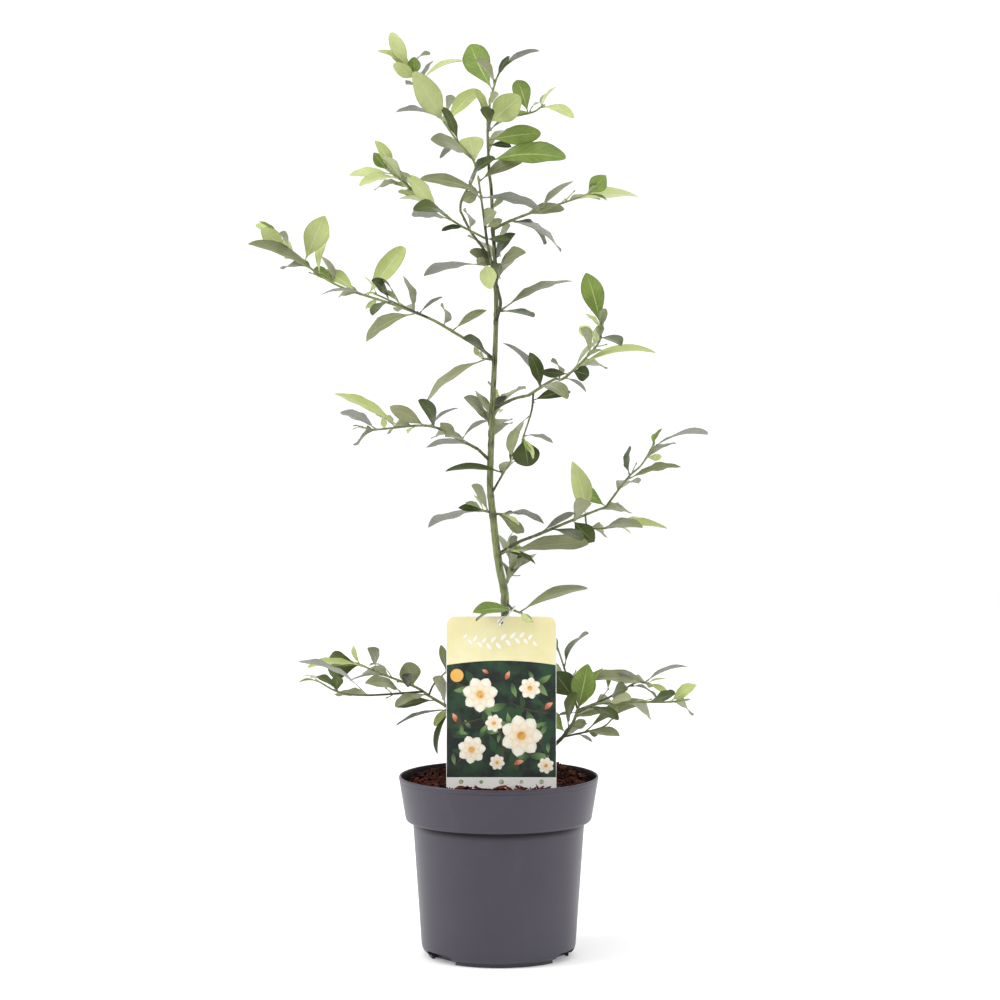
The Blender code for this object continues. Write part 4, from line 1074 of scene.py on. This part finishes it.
def makeBoughs():
    tips = {}
    for number, (name, spec) in enumerate(boughs.items()):
        joints = grownRoute(trunkPoint(spec["at"]), spec["runs"])
        coarse, route = smoothPoints(joints, 2), evenly(smoothPoints(joints, 12), 0.7)
        tips[name] = (coarse[-1], unit(coarse[-1] - coarse[-2]))
        share, length = lengthsAlong(route), lengthOf(route)
        radii = np.interp(share, (0, 1), spec["radii"]) + 0.9 * np.exp(-share * length / 2.2)
        nodes = [(length * at, 0.22, 1.3) for at in (0.45, 0.85)]
        collars = [(length * at + 0.8, 1.1, 0.8) for at in (0.45, 0.85)] + [(2.5, 2.6, 0.8)]
        shape = limbShape(route, radii, 20, 0.95 - 0.3 * share, number + 7, 0.06, nodes, collars)
        makePiece(name + "_bark", shape, [barkSkin], "bark", [name])
    return tips


makeTrunk()
boughTips = makeBoughs()
print("trunk and boughs grown")


# Foliage: the source's masses. Each is a stem that grows on from a bough's tip or from the trunk, with
# its side twigs. Each leaf is (share along the stem, heading, length, shown width, tone), and a tilt
# in depth after them where it isn't left to the seeded rule. Tones: Y pale young green with painted
# light shining through it, B fresh green, O olive, D dark green with painted shade, G with the grey underside
# in front.

masses = {
    "foliage_top": dict(seed=2, bough="trunk", radii=(1.3, 0.7), fill=4, runs=(
        (92, 40, -2), (85, 23, -2), (76, 22, -1), (67, 13, -1)),
        leaves=(
            (78, 116, 50, 26, "B"), (92, 60, 22, 5, "D"), (96, 33, 43, 4, "G"), (46, 107, 34, 6, "Y"),
            (46, 40, 39, 26, "Y"), (38, 26, 44, 6, "B"), (30, 8, 50, 19, "B"), (25, 0, 22, 6, "D"),
            (10, 4, 71, 20, "B")),
        twigs=(dict(at=49, radii=(0.9, 0.7), fill=0, runs=((10, 39, -16), (27, 13, -9)), leaves=(
            (71, 108, 34, 17, "B"), (99, -16, 31, 7, "Y"))),)),
    "foliage_leader": dict(seed=256, bough="bough_leader", radii=(1.2, 0.8), fill=2, runs=(
        (97, 24, -2), (98, 37, -3)),
        leaves=(
            (80, 165, 57, 11, "O"), (97, 28, 46, 11, "O"), (73, -8, 57, 9, "G"), (25, 27, 18, 8, "O"),
            (8, 0, 22, 7, "D")),
        twigs=(dict(at=8, radii=(1, 0.7), runs=((150, 42, -20), (141, 70, -31)), fill=4, leaves=(
            (99, 130, 22, 11, "B"), (95, 180, 41, 9, "Y"), (90, 187, 34, 8, "Y"), (75, 138, 36, 9, "O"),
            (54, 157, 34, 7, "Y"), (46, 131, 44, 14, "Y"), (50, 193, 23, 5, "G"), (32, 171, 38, 4, "G"),
            (21, 185, 21, 5, "D"))),)),
    "foliage_top_left": dict(seed=195, bough="bough_top_left", radii=(1.1, 0.7), fill=5, runs=(
        (81, 11, 2), (67, 33, 8), (126, 36, 10), (124, 44, 10), (123, 52, 10)),
        leaves=(
            (88, 117, 40, 14, "Y"), (92, 153, 30, 5, "Y"), (84, 89, 18, 13, "B"), (83, 146, 24, 13, "Y"),
            (55, 121, 54, 24, "Y"), (42, 113, 35, 9, "D"), (26, 103, 29, 25, "Y"), (53, 46, 46, 15, "Y"),
            (57, 168, 44, 5, "G"), (42, 224, 24, 5, "G"), (78, 63, 27, 4, "G"), (80, 28, 52, 5, "Y"),
            (5, 27, 18, 12, "O"))),
    "foliage_small_right": dict(seed=1, at=692, radii=(1.3, 0.7), fill=3, runs=(
        (27, 19, -11), (21, 33, -18), (16, 16, -9), (20, 26, -12)),
        leaves=(
            (34, 9, 39, 11, "O"), (86, 3, 63, 13, "Y"), (99, 45, 25, 17, "B"), (20, -27, 55, 9, "G"))),
    "foliage_high_left": dict(seed=27, bough="bough_high_left", radii=(1.3, 0.7), fill=7, runs=(
        (151, 35, 11), (160, 42, 13), (163, 41, 13), (153, 30, 9), (141, 41, 12), (132, 20, 5)),
        leaves=(
            (91, 143, 30, 17, "Y"), (70, 153, 74, 11, "O"), (80, 66, 49, 24, "Y"), (71, 79, 40, 8, "Y"),
            (52, 149, 40, 13, "Y"), (47, 53, 58, 19, "Y"), (46, 174, 46, 5, "G"), (42, 217, 14, 6, "Y"),
            (22, 36, 28, 4, "G"), (23, 207, 57, 11, "O"), (5, 33, 39, 9, "O")),
        twigs=(dict(at=17, radii=(0.9, 0.7), runs=((155, 54, -14),), fill=2, leaves=()),)),
    "foliage_mid_left": dict(seed=6, bough="bough_mid_left", radii=(1.3, 0.7), fill=6, runs=(
        (150, 23, -13), (155, 30, -17), (182, 47, -27), (169, 12, -7)),
        leaves=(
            (70, 154, 69, 11, "Y"), (89, 149, 37, 9, "G"), (82, 99, 11, 6, "Y"), (49, 152, 38, 14, "O"),
            (45, 36, 32, 4, "G"), (20, 136, 22, 11, "O"), (16, 38, 32, 4, "G"), (5, 179, 44, 6, "G"))),
    "foliage_low_left": dict(seed=110, bough="bough_low_left", radii=(1.4, 0.8), fill=5, runs=(
        (153, 29, 16), (151, 17, 10), (163, 36, 20), (160, 21, 12)),
        leaves=(
            (98, 182, 36, 28, "D"), (95, 177, 55, 4, "Y"), (75, 186, 34, 3, "G"), (46, 107, 24, 21, "O"),
            (22, 192, 39, 9, "D"), (10, 235, 22, 9, "Y"), (5, 191, 55, 4, "G"), (6, 249, 43, 6, "D")),
        twigs=(
            dict(at=36, radii=(1, 0.7), runs=((180, 53, -26), (171, 27, -9), (150, 22, -6)), fill=3, leaves=(
                (81, 89, 14, 12, "D"), (54, 157, 72, 8, "G"))),
            dict(at=30, radii=(0.9, 0.7), runs=((64, 12, 5), (43, 16, 8)), fill=0, leaves=(
                (98, 101, 26, 8, "O"),)))),
    "foliage_low_right": dict(seed=242, bough="bough_low_right", radii=(1.7, 1.1), fill=3, runs=(
        (46, 12, -2), (56, 17, -2), (71, 14, -2)),
        leaves=(
            (97, 78, 45, 24, "B"), (92, 60, 47, 8, "B"), (38, 131, 26, 14, "B"), (54, 21, 16, 9, "O"),
            (90, 187, 18, 4, "G"), (80, 15, 27, 5, "O")),
        twigs=(
            dict(at=98, radii=(1, 0.7), runs=((109, 56, 38), (113, 6, 3)), fill=4, leaves=(
                (15, 125, 33, 24, "D"), (40, -1, 73, 8, "O"))),
            dict(at=90, radii=(1.1, 0.8), runs=((29, 22, -16), (8, 37, -26), (5, 29, -17), (12, 16, -10)),
                fill=5, leaves=((86, 39, 31, 9, "Y"),)),
            dict(at=96, radii=(1, 0.7), runs=((17, 30, 20), (24, 31, 18), (-8, 10, 5)), fill=3, leaves=(
                (87, 148, 20, 8, "G"), (97, 27, 44, 4, "G"), (77, -16, 27, 4, "G"))),
            dict(at=26, radii=(0.9, 0.7), runs=((18, 37, -20), (41, 15, -8)), fill=1, leaves=(
                (42, 25, 65, 8, "O"), (47, -25, 11, 6, "D"), (28, -28, 16, 4, "G"))))),
    "foliage_mid_right": dict(seed=34, bough="bough_mid_right", radii=(1.4, 0.9), fill=3, runs=(
        (20, 53, 26), (19, 18, 8), (16, 9, 4)),
        leaves=(
            (64, 103, 54, 19, "Y"), (91, 140, 36, 13, "B"), (6, 31, 37, 6, "G"), (48, -45, 29, 19, "D")),
        twigs=(
            dict(at=90, radii=(1, 0.7), runs=((51, 34, 16), (42, 19, 9), (58, 20, 10)), fill=3, leaves=(
                (44, 15, 54, 7, "O"), (95, 11, 58, 6, "G"), (83, 2, 15, 7, "Y"))),
            dict(at=64, radii=(0.8, 0.7), runs=((-79, 10, -5), (-15, 10, -4), (8, 19, -6)), fill=2, leaves=(
                (58, -1, 65, 6, "Y"), (70, 20, 27, 4, "G"))))),
    "foliage_high_right": dict(seed=3, bough="bough_high_right", radii=(1.3, 0.7), fill=5, runs=(
        (34, 28, -17), (15, 12, -7), (48, 44, -30), (85, 19, -12)),
        leaves=(
            (97, 105, 52, 21, "B"), (94, 129, 21, 4, "Y"), (84, 147, 22, 11, "Y"), (51, 11, 76, 7, "Y"),
            (46, -14, 17, 15, "D"), (42, 174, 27, 9, "D"), (13, 106, 34, 13, "D"), (13, 126, 55, 7, "G"),
            (36, -30, 25, 4, "G")),
        twigs=(dict(at=5, radii=(0.9, 0.7), runs=((-96, 17, -6), (-108, 26, -8)), fill=1, leaves=(
            (97, -81, 29, 26, "D"), (96, -17, 29, 5, "G"), (17, 13, 37, 10, "D"))),)),
    "spur_high_left": dict(seed=2, at=658, radii=(1.1, 0.8), fill=0, runs=(
        (165, 5, -4), (180, 5, -3)), leaves=(
        (95, 188, 59, 7, "G"), (80, 149, 11, 9, "O"), (95, -76, 22, 17, "Y", -38))),
    "spur_upper_right": dict(seed=1, at=613, radii=(1.1, 0.8), fill=1, runs=((32, 8, 6),), leaves=(
        (90, 20, 71, 9, "O"),)),
    "spur_upper_left": dict(seed=1, at=569, radii=(1.1, 0.8), fill=1, runs=((170, 9, -7),), leaves=(
        (90, 217, 79, 10, "O"),)),
    "spur_inner": dict(seed=3, at=441, radii=(1.1, 0.7), fill=1, runs=((61, 26, -11), (59, 13, -4)), leaves=(
        (66, 177, 55, 6, "D"), (95, 81, 12, 4, "D"))),
    "spur_middle_right": dict(seed=1, at=423, radii=(1.1, 0.8), fill=1, runs=((-3, 9, 4),), leaves=(
        (90, -11, 41, 7, "G"), (80, -41, 30, 11, "O"))),
    "spur_middle_left": dict(seed=2, at=424, radii=(1.1, 0.8), fill=1, runs=((165, 9, -3),), leaves=(
        (90, 196, 56, 9, "G"), (80, 172, 26, 7, "D"))),
    "spur_fork": dict(seed=2, at=383, radii=(1.2, 0.8), fill=0, runs=((32, 11, -8),), leaves=(
        (92, 4, 78, 11, "O"), (80, -19, 30, 5, "D"))),
    "spur_label": dict(seed=6, at=340, radii=(1.2, 0.8), fill=0, runs=((-45, 10, -6), (-24, 8, -3)), leaves=(
        (95, 21, 69, 9, "O"), (78, 172, 39, 9, "B"), (40, 195, 34, 5, "G"))),
    "back_high": dict(seed=136, at=640, radii=(1.3, 0.7), fill=7, leaves=(), runs=(
        (80, 10, 22), (100, 16, 40))),
    "back_middle": dict(seed=10, at=490, radii=(1.3, 0.7), fill=8, leaves=(), runs=(
        (100, 10, 24), (70, 18, 46))),
    "back_low": dict(seed=123, at=352, radii=(1.4, 0.7), fill=8, leaves=(), runs=(
        (60, 12, 28), (80, 16, 42))),
}

leafForm = dict(
    stations=(0, 0.05, 0.1, 0.16, 0.23, 0.31, 0.4, 0.49, 0.58, 0.67, 0.76, 0.84, 0.91, 0.96, 0.989, 1),
    side=(1, 0.55, 0, -0.55, -1, -0.55, 0, 0.55), face=(0, 1, 0.4, 1, 0, -1, -1.9, -1),
    breadth=0.31, longest=84, tiltSpread=24, mostTilt=42, gap=0.3, seed=31,
    arch=(0.02, 0.09), cup=(0.15, 0.4), fillTurn=(15, 65), fillTilt=(48, 72), fillLength=(44, 66),
    fillWidth=(4, 9), fillTones="ODO",
    stalk=(0.07, 0.1), root=(0.85, 1.1), belly=(1.1, 1.4), blunt=(0.42, 0.85), waves=(1.6, 3.2),
    waveStart=(0, 6), waveShift=(0.8, 3.2), waveDepth=(0.02, 0.14), tipBend=(-0.02, 0.09),
    sway=(-0.03, 0.03), twist=(-0.25, 0.25), chance=(0, 1), stalkHalf=0.55, thick=0.16)
twigForm = dict(
    gain=1.15, sides=10, sheaf=(0.5, 0.63, 0.75, 0.86, 0.95), sheafFrom=0.3, tipLeaves=0.7,
    twiglet=48, twigletTurn=(32, 62), twigletReach=(4, 13), twigletRadii=(0.62, 0.5),
    twigletAges=(0.25, 0.05), twigletPoints=8, twigletSides=7, twigletLeaves=0.2)
# young leaves by where they grow: (angle from the stem, length), and buds: (length, radius)
youngLeaves = dict(tip=((18, 48), (13, 24)), twiglet=((15, 45), (11, 21)), sheaf=((10, 30), (24, 40)))
budSizes = dict(stalk=((2.0, 3.2), (0.55, 0.8)), tip=((5, 7.5), (0.95, 1.25)),
                twiglet=((2.4, 4.2), (0.6, 0.85)))
# young is partly the real paleness of new growth and partly painted light shining through the blade; dark is
# partly the leaves' own deep green and partly painted shade
leafTones = dict(
    young=dict(letter="Y", upper=((0.35, 0.42, 0.115), (0.53, 0.59, 0.27)),
               under=((0.40, 0.45, 0.24), (0.52, 0.55, 0.36)), vein=(0.60, 0.64, 0.36)),
    fresh=dict(letter="B", upper=((0.085, 0.140, 0.022), (0.23, 0.32, 0.065)),
               under=((0.21, 0.255, 0.13), (0.29, 0.34, 0.19)), vein=(0.40, 0.48, 0.18)),
    olive=dict(letter="O", upper=((0.15, 0.175, 0.07), (0.29, 0.30, 0.165)),
               under=((0.19, 0.21, 0.135), (0.28, 0.30, 0.21)), vein=(0.36, 0.38, 0.21)),
    dark=dict(letter="D", upper=((0.018, 0.030, 0.007), (0.085, 0.115, 0.024)),
              under=((0.13, 0.155, 0.09), (0.22, 0.245, 0.165)), vein=(0.17, 0.22, 0.07)),
    grey=dict(letter="G", upper=((0.05, 0.075, 0.02), (0.10, 0.14, 0.045)),
              under=((0.20, 0.21, 0.175), (0.34, 0.345, 0.30)), vein=(0.20, 0.22, 0.15)))
budTones = ((0.16, 0.17, 0.08), (0.38, 0.38, 0.24))
blemish = (0.09, 0.055, 0.02)


def leafAxes(heading, tilt, shown, width, tone):
    # The blade rolls round its midrib until only the shown width is left in the front view, with the
    # upper side in front, or the underside for tone G; of those turns, the most open to the sky.
    turn, lean = math.radians(heading), math.radians(tilt)
    along = np.array([math.cos(turn) * math.cos(lean), math.sin(lean), math.sin(turn) * math.cos(lean)])
    flat = np.array([-math.sin(turn), 0, math.cos(turn)])
    roll = math.acos(min(1, shown / width))
    angle = np.array([roll, -roll, math.pi - roll, math.pi + roll])[:, None]
    across = flat * np.cos(angle) + np.cross(along, flat) * np.sin(angle)
    up = np.cross(along, across)
    front = up[:, 1] if tone == "G" else -up[:, 1]
    best = np.argmax(np.where(front >= -1e-9, up[:, 2], -9))
    return np.stack([across[best], up[best], along])


def stemParts(spec, start, straight=None):
    # the stem of a mass and its side twigs: (the source's points, a smooth route, spec) of each
    joints = grownRoute(start, spec["runs"])
    points, route = smoothPoints(joints, 2), evenly(smoothPoints(joints, 10), 1.1)
    if straight is not None:
        gap = leafForm["gap"]
        points = np.vstack([start + straight * gap, start + straight * (gap + 1.5), points[1:]])
    grown = [(points, route, spec)]
    for twig in spec.get("twigs", ()):
        grown += stemParts(twig, placeOn(points, twig["at"] / 100))
    return grown


def leavesOf(spec, points, rng):
    # the source's rule: the listed leaves, tilted at random as far as the longest leaf allows, then
    # the fill leaves, which point mostly away from the front or towards it
    for leaf in spec["leaves"]:
        share, heading, length, shown, tone = leaf[:5]
        most = min(leafForm["mostTilt"], math.degrees(math.acos(length / leafForm["longest"])))
        tilt = max(-most, min(most, rng.gauss(0, leafForm["tiltSpread"])))
        yield share, heading, length, shown, tone, leaf[5] if len(leaf) > 5 else tilt
    trend = points[-1] - points[0]
    lean = math.degrees(math.atan2(trend[2], trend[0]))
    count = spec.get("fill", 0)
    for number in range(count):
        share = 100 * (number + 0.7) / (count + 0.4)
        heading = lean + rng.uniform(*leafForm["fillTurn"]) * (1 if number % 2 else -1)
        tilt = rng.uniform(*leafForm["fillTilt"]) * (1 if rng.random() < 0.6 else -1)
        length = rng.uniform(*leafForm["fillLength"]) * math.cos(math.radians(tilt))
        yield share, heading, length, rng.uniform(*leafForm["fillWidth"]), "D", tilt


def grownLeaf(points, leaf, rng, tint=None):
    # one leaf as (tone, root, axes, real length, real width, arch, cup); a tint takes the tone's place
    share, heading, length, shown, tone, tilt = leaf
    arch, cup = rng.uniform(*leafForm["arch"]), rng.uniform(*leafForm["cup"])
    real = length / math.cos(math.radians(tilt))
    width = max(shown, leafForm["breadth"] * real)
    axes = leafAxes(heading, tilt, shown, width, tone)
    return tint or tone, placeOn(points, share / 100), axes, real, width, arch, cup


def bladePoints(leaves, rng):
    # Every blade at once, as (leaf, station, side, xyz). s runs along a leaf, t along its blade from
    # the stalk's end to the tip, and k across it. Half width: sin(pi t^belly) to a power that runs from
    # root to blunt, a blunter tip for a smaller one. Height: the arch 4s(1-s), the cup |k|, waves that
    # grow by k^2 to the edge, and a tip that bends back by t^3.
    def draw(key):
        return rng.uniform(*leafForm[key], (len(leaves), 1, 1))

    s = np.array(leafForm["stations"])[None, :, None]
    k, face = (np.array(leafForm[key])[None, None] for key in ("side", "face"))
    root, axes = (np.array([leaf[i] for leaf in leaves])[:, None, None] for i in (1, 2))
    length, width, arch, cup = np.array([leaf[3:] for leaf in leaves], float).T[:, :, None, None]
    stalk = draw("stalk")
    t = np.clip((s - stalk) / (1 - stalk), 0, 1)
    base = draw("root")
    swell = np.clip(np.sin(math.pi * t ** draw("belly")), 0, 1) ** (base + (draw("blunt") - base) * t)
    half = np.maximum(width / 2 * swell, leafForm["stalkHalf"] * (1 - 0.85 * s))
    thick = leafForm["thick"] + (leafForm["stalkHalf"] - leafForm["thick"]) * np.exp(-((t / 0.05) ** 2))
    wave = np.sin(math.tau * draw("waves") * t + draw("waveStart") + (k > 0) * draw("waveShift"))
    edge = abs(k) * cup * half + k**2 * draw("waveDepth") * half * wave + face * thick
    rise = 4 * s * (1 - s) * arch * length - draw("tipBend") * length * t**3
    sway = draw("sway") * length * np.sin(math.pi * s)
    twist = draw("twist") * t
    x = k * half * np.cos(twist) - edge * np.sin(twist) + sway
    z = k * half * np.sin(twist) + edge * np.cos(twist) + rise
    across, up, along = (axes[..., i, :] for i in range(3))
    points = root + along * (s * length + 0 * k)[..., None] + across * x[..., None] + up * z[..., None]
    chance = draw("chance")
    return points, np.stack([np.broadcast_to(v, points.shape[:3]) for v in (k, s, chance)], axis=-1)


def leafShape(points, blade):
    # One leaf's closed skin, with finish 0 above and 1 below. The quads below start one corner on, so
    # that they fold along the same lines as those above and the two sides never cross.
    shape = tubeShape(points * mm, dict(blade=blade))
    under = np.arange(points.shape[1]) >= points.shape[1] // 2
    low = np.tile(under, len(points) - 1)
    shape["quads"][low] = np.roll(shape["quads"][low], -1, axis=1)
    shape["finish"] = np.concatenate([low, under, under]).astype(int)
    return shape


def insideBox(points, margin=0.5):
    # whether a shape in millimetres stays in the CAD model's own box, less the margin
    low, high = np.array(cadBox) / mm
    flat = points.reshape(-1, 3)
    return (flat.min(axis=0) > low + margin).all() and (flat.max(axis=0) < high - margin).all()


def budShape(root, way, kind, rng):
    # a pointed bud: rings round a line, swelling by sin(pi s^0.62)^0.8 from a root of half its width
    length, radius = (rng.uniform(*span) for span in budSizes[kind])
    s = np.linspace(0, 1, 7)
    size = radius * np.maximum(np.sin(math.pi * s**0.62) ** 0.8, 0.55 * (1 - s)) + 0.04
    rings, flow = ringsRound(root + way * (s * length)[:, None], size, 8)
    return tubeShape(rings * mm, dict(flow=flow))


def sideways(way, rng, low, high):
    # a direction that leaves a stem's own by an angle between low and high degrees
    other = unit(np.cross(way, unit(rng.normal(0, 1, 3))))
    angle = math.radians(rng.uniform(low, high))
    return unit(way * math.cos(angle) + other * math.sin(angle))


def smallLeaf(root, stemWay, kind, rng):
    # a young leaf that leaves the stem at an angle, its upper side turned to the sky
    turn, span = youngLeaves[kind]
    way, length = sideways(stemWay, rng, *turn), rng.uniform(*span)
    side = unit(np.cross(way, np.array([0, 0, 1.0]) + 0.4 * rng.normal(0, 1, 3)))
    axes = np.stack([-side, np.cross(way, -side), way])
    if axes[1][2] < 0:
        axes[:2] *= -1
    tone = "Y" if rng.random() < 0.7 else "B"
    return tone, root, axes, length, length * rng.uniform(0.26, 0.36), 0.07, 0.35


def growFoliage(tips):
    # every stem, leaf and bud of the masses, and finer growth on them within the same reach
    path = trunkPath(2)
    tips["trunk"] = path[-1], unit(path[-1] - path[-2])
    rng = np.random.default_rng(leafForm["seed"])
    stems, leaves, buds, extra = [], [], [], []
    for spec in masses.values():
        start, straight = tips[spec["bough"]] if "bough" in spec else (trunkPoint(spec["at"]), None)
        chance = random.Random(spec["seed"])
        for points, route, stem in stemParts(spec, start, straight):
            long = lengthOf(route)
            listed = len(stem["leaves"])
            # fill leaves take O and D from fillTones; the D ones are painted shade on the leaves by the stems
            grown = [grownLeaf(points, leaf, chance, leafForm["fillTones"][n % 3] if n >= listed else None)
                     for n, leaf in enumerate(leavesOf(stem, points, chance))]
            leaves += grown
            at = np.array([np.argmin(np.linalg.norm(route - leaf[1], axis=1)) for leaf in grown], int)
            nodes = [(long * i / (len(route) - 1), 0.16, 0.9) for i in at]
            collars = [(long * i / (len(route) - 1) - 0.9, 0.5, 0.55) for i in at]
            share = lengthsAlong(route)
            pale = sum(leaf[4] == "Y" for leaf in stem["leaves"]) / max(4, listed)
            age = max(0.15, 0.95 - 1.35 * pale) * (1 - share) ** 0.6 + 0.16 - 0.16 * pale
            radii, seed = np.interp(share, (0, 1), stem["radii"]) * twigForm["gain"], len(stems) + 40
            stems.append(limbShape(route, radii, twigForm["sides"], age, seed, 0.035, nodes, collars))
            growBuds(route, grown, at, buds, rng)
            growTips(route, long, stems, buds, extra, rng)
            for spot in twigForm["sheaf"] if pale > twigForm["sheafFrom"] else ():
                i = int(spot * (len(route) - 2))
                extra.append(smallLeaf(route[i], unit(route[i + 1] - route[i]), "sheaf", rng))
    return stems, leaves + extra, buds


def growBuds(route, grown, at, buds, rng):
    # a small bud in the angle over each leaf's stalk
    along = unit(np.gradient(route, axis=0))
    for leaf, i in zip(grown, at):
        way = unit(along[i] * 0.8 + leaf[2][2] * 0.5)
        root = route[i] + along[i] * 0.8 + leaf[2][2] * 0.5
        buds.append(budShape(root, way, "stalk", rng))


def growTips(route, long, stems, buds, extra, rng):
    # the end bud with its young leaves, and short side twigs along the stem
    way = unit(route[-1] - route[-3])
    tip = budShape(route[-1] - way * 0.5, way, "tip", rng)
    if insideBox(tip["points"] / mm):
        buds.append(tip)
    if rng.random() < twigForm["tipLeaves"]:
        extra += [smallLeaf(route[-1], way, "tip", rng) for _ in range(2)]
    for _ in range(int(long / twigForm["twiglet"])):
        i = int(rng.uniform(0.2, 0.9) * (len(route) - 1))
        ahead = unit(route[i + 1] - route[i])
        side = sideways(ahead, rng, *twigForm["twigletTurn"])
        reach = rng.uniform(*twigForm["twigletReach"])
        t = np.linspace(0, 1, twigForm["twigletPoints"])
        spur = route[i] + side * reach * t[:, None] + ahead * reach * 0.3 * t[:, None] ** 2
        end = unit(spur[-1] - spur[-2])
        bud = budShape(spur[-1] - end * 0.3, end, "twiglet", rng)
        if insideBox(bud["points"] / mm):
            radii, age = (np.linspace(*twigForm[key], len(t)) for key in ("twigletRadii", "twigletAges"))
            stems.append(limbShape(spur, radii, twigForm["twigletSides"], age, len(stems), 0.02))
            buds.append(bud)
            if rng.random() < twigForm["twigletLeaves"]:
                extra.append(smallLeaf(spur[-1], end, "twiglet", rng))


def leafFinish(name, side, tones, roughness, specular, relief):
    # a leaf's side: each leaf has its own tone between two, clouded, with a pale midrib and veins,
    # a darker edge and a few brown specks
    finish, sockets, at = newFinish(name, roughness, specular)
    blade = readMark(at.tree, "blade", "Vector")
    across, _, chance = splitVector(blade)
    midrib, veins = useGroup(veinsGroup, at.tree, Blade=blade)
    cloud, specks = patches(at, 70.0, 0.34, 0.66), patches(at, 260.0, 0.68, 0.73)
    first, second = tones[side]
    palette = dict(edge=tuple(c * 0.6 for c in first), vein=tones["vein"], blemish=blemish)
    layers = ((abs(across).spread(0.82, 1.0, 0.0, 0.35), "edge"), (veins * 0.22, "vein"),
              (midrib * 0.85, "vein"), (specks * 0.3, "blemish"))
    own = (chance * 0.7 + cloud * 0.3).mix(first, second)
    feed(sockets["Base Color"], layered(own, layers, palette))
    feed(sockets["Roughness"], cloud * 0.12 + (roughness - 0.05))
    bumpFrom(sockets, cloud * 0.25 - (veins + midrib), relief, 0.0004)
    return finish


def makeFoliage(tips):
    stems, leaves, buds = growFoliage(tips)
    makePiece("twigs", joined(stems), [barkSkin], "bark")
    finish, sockets, at = newFinish("bud_fuzz", 0.8, 0.2)
    fuzz = patches(at, 700.0, 0.35, 0.65)
    feed(sockets["Base Color"], fuzz.mix(*budTones))
    bumpFrom(sockets, fuzz, 0.6, 0.0003)
    makePiece("buds", joined(buds), [finish], "leaf")
    rng = np.random.default_rng(leafForm["seed"] + 1)
    for name, tones in leafTones.items():
        own = [leaf for leaf in leaves if leaf[0] == tones["letter"]]
        shapes = [leafShape(*pair) for pair in zip(*bladePoints(own, rng)) if insideBox(pair[0], -3)]
        upper = leafFinish(f"leaf_{name}_upper", "upper", tones, 0.42, 0.25, 0.22)
        under = leafFinish(f"leaf_{name}_under", "under", tones, 0.62, 0.2, -0.3)
        makePiece(f"leaves_{name}", joined(shapes), [upper, under], "leaf",
                  list(masses) if name == "dark" else (), crease=60)
        print("leaves", name, len(shapes), "of", len(own))


makeFoliage(boughTips)
print("foliage grown")
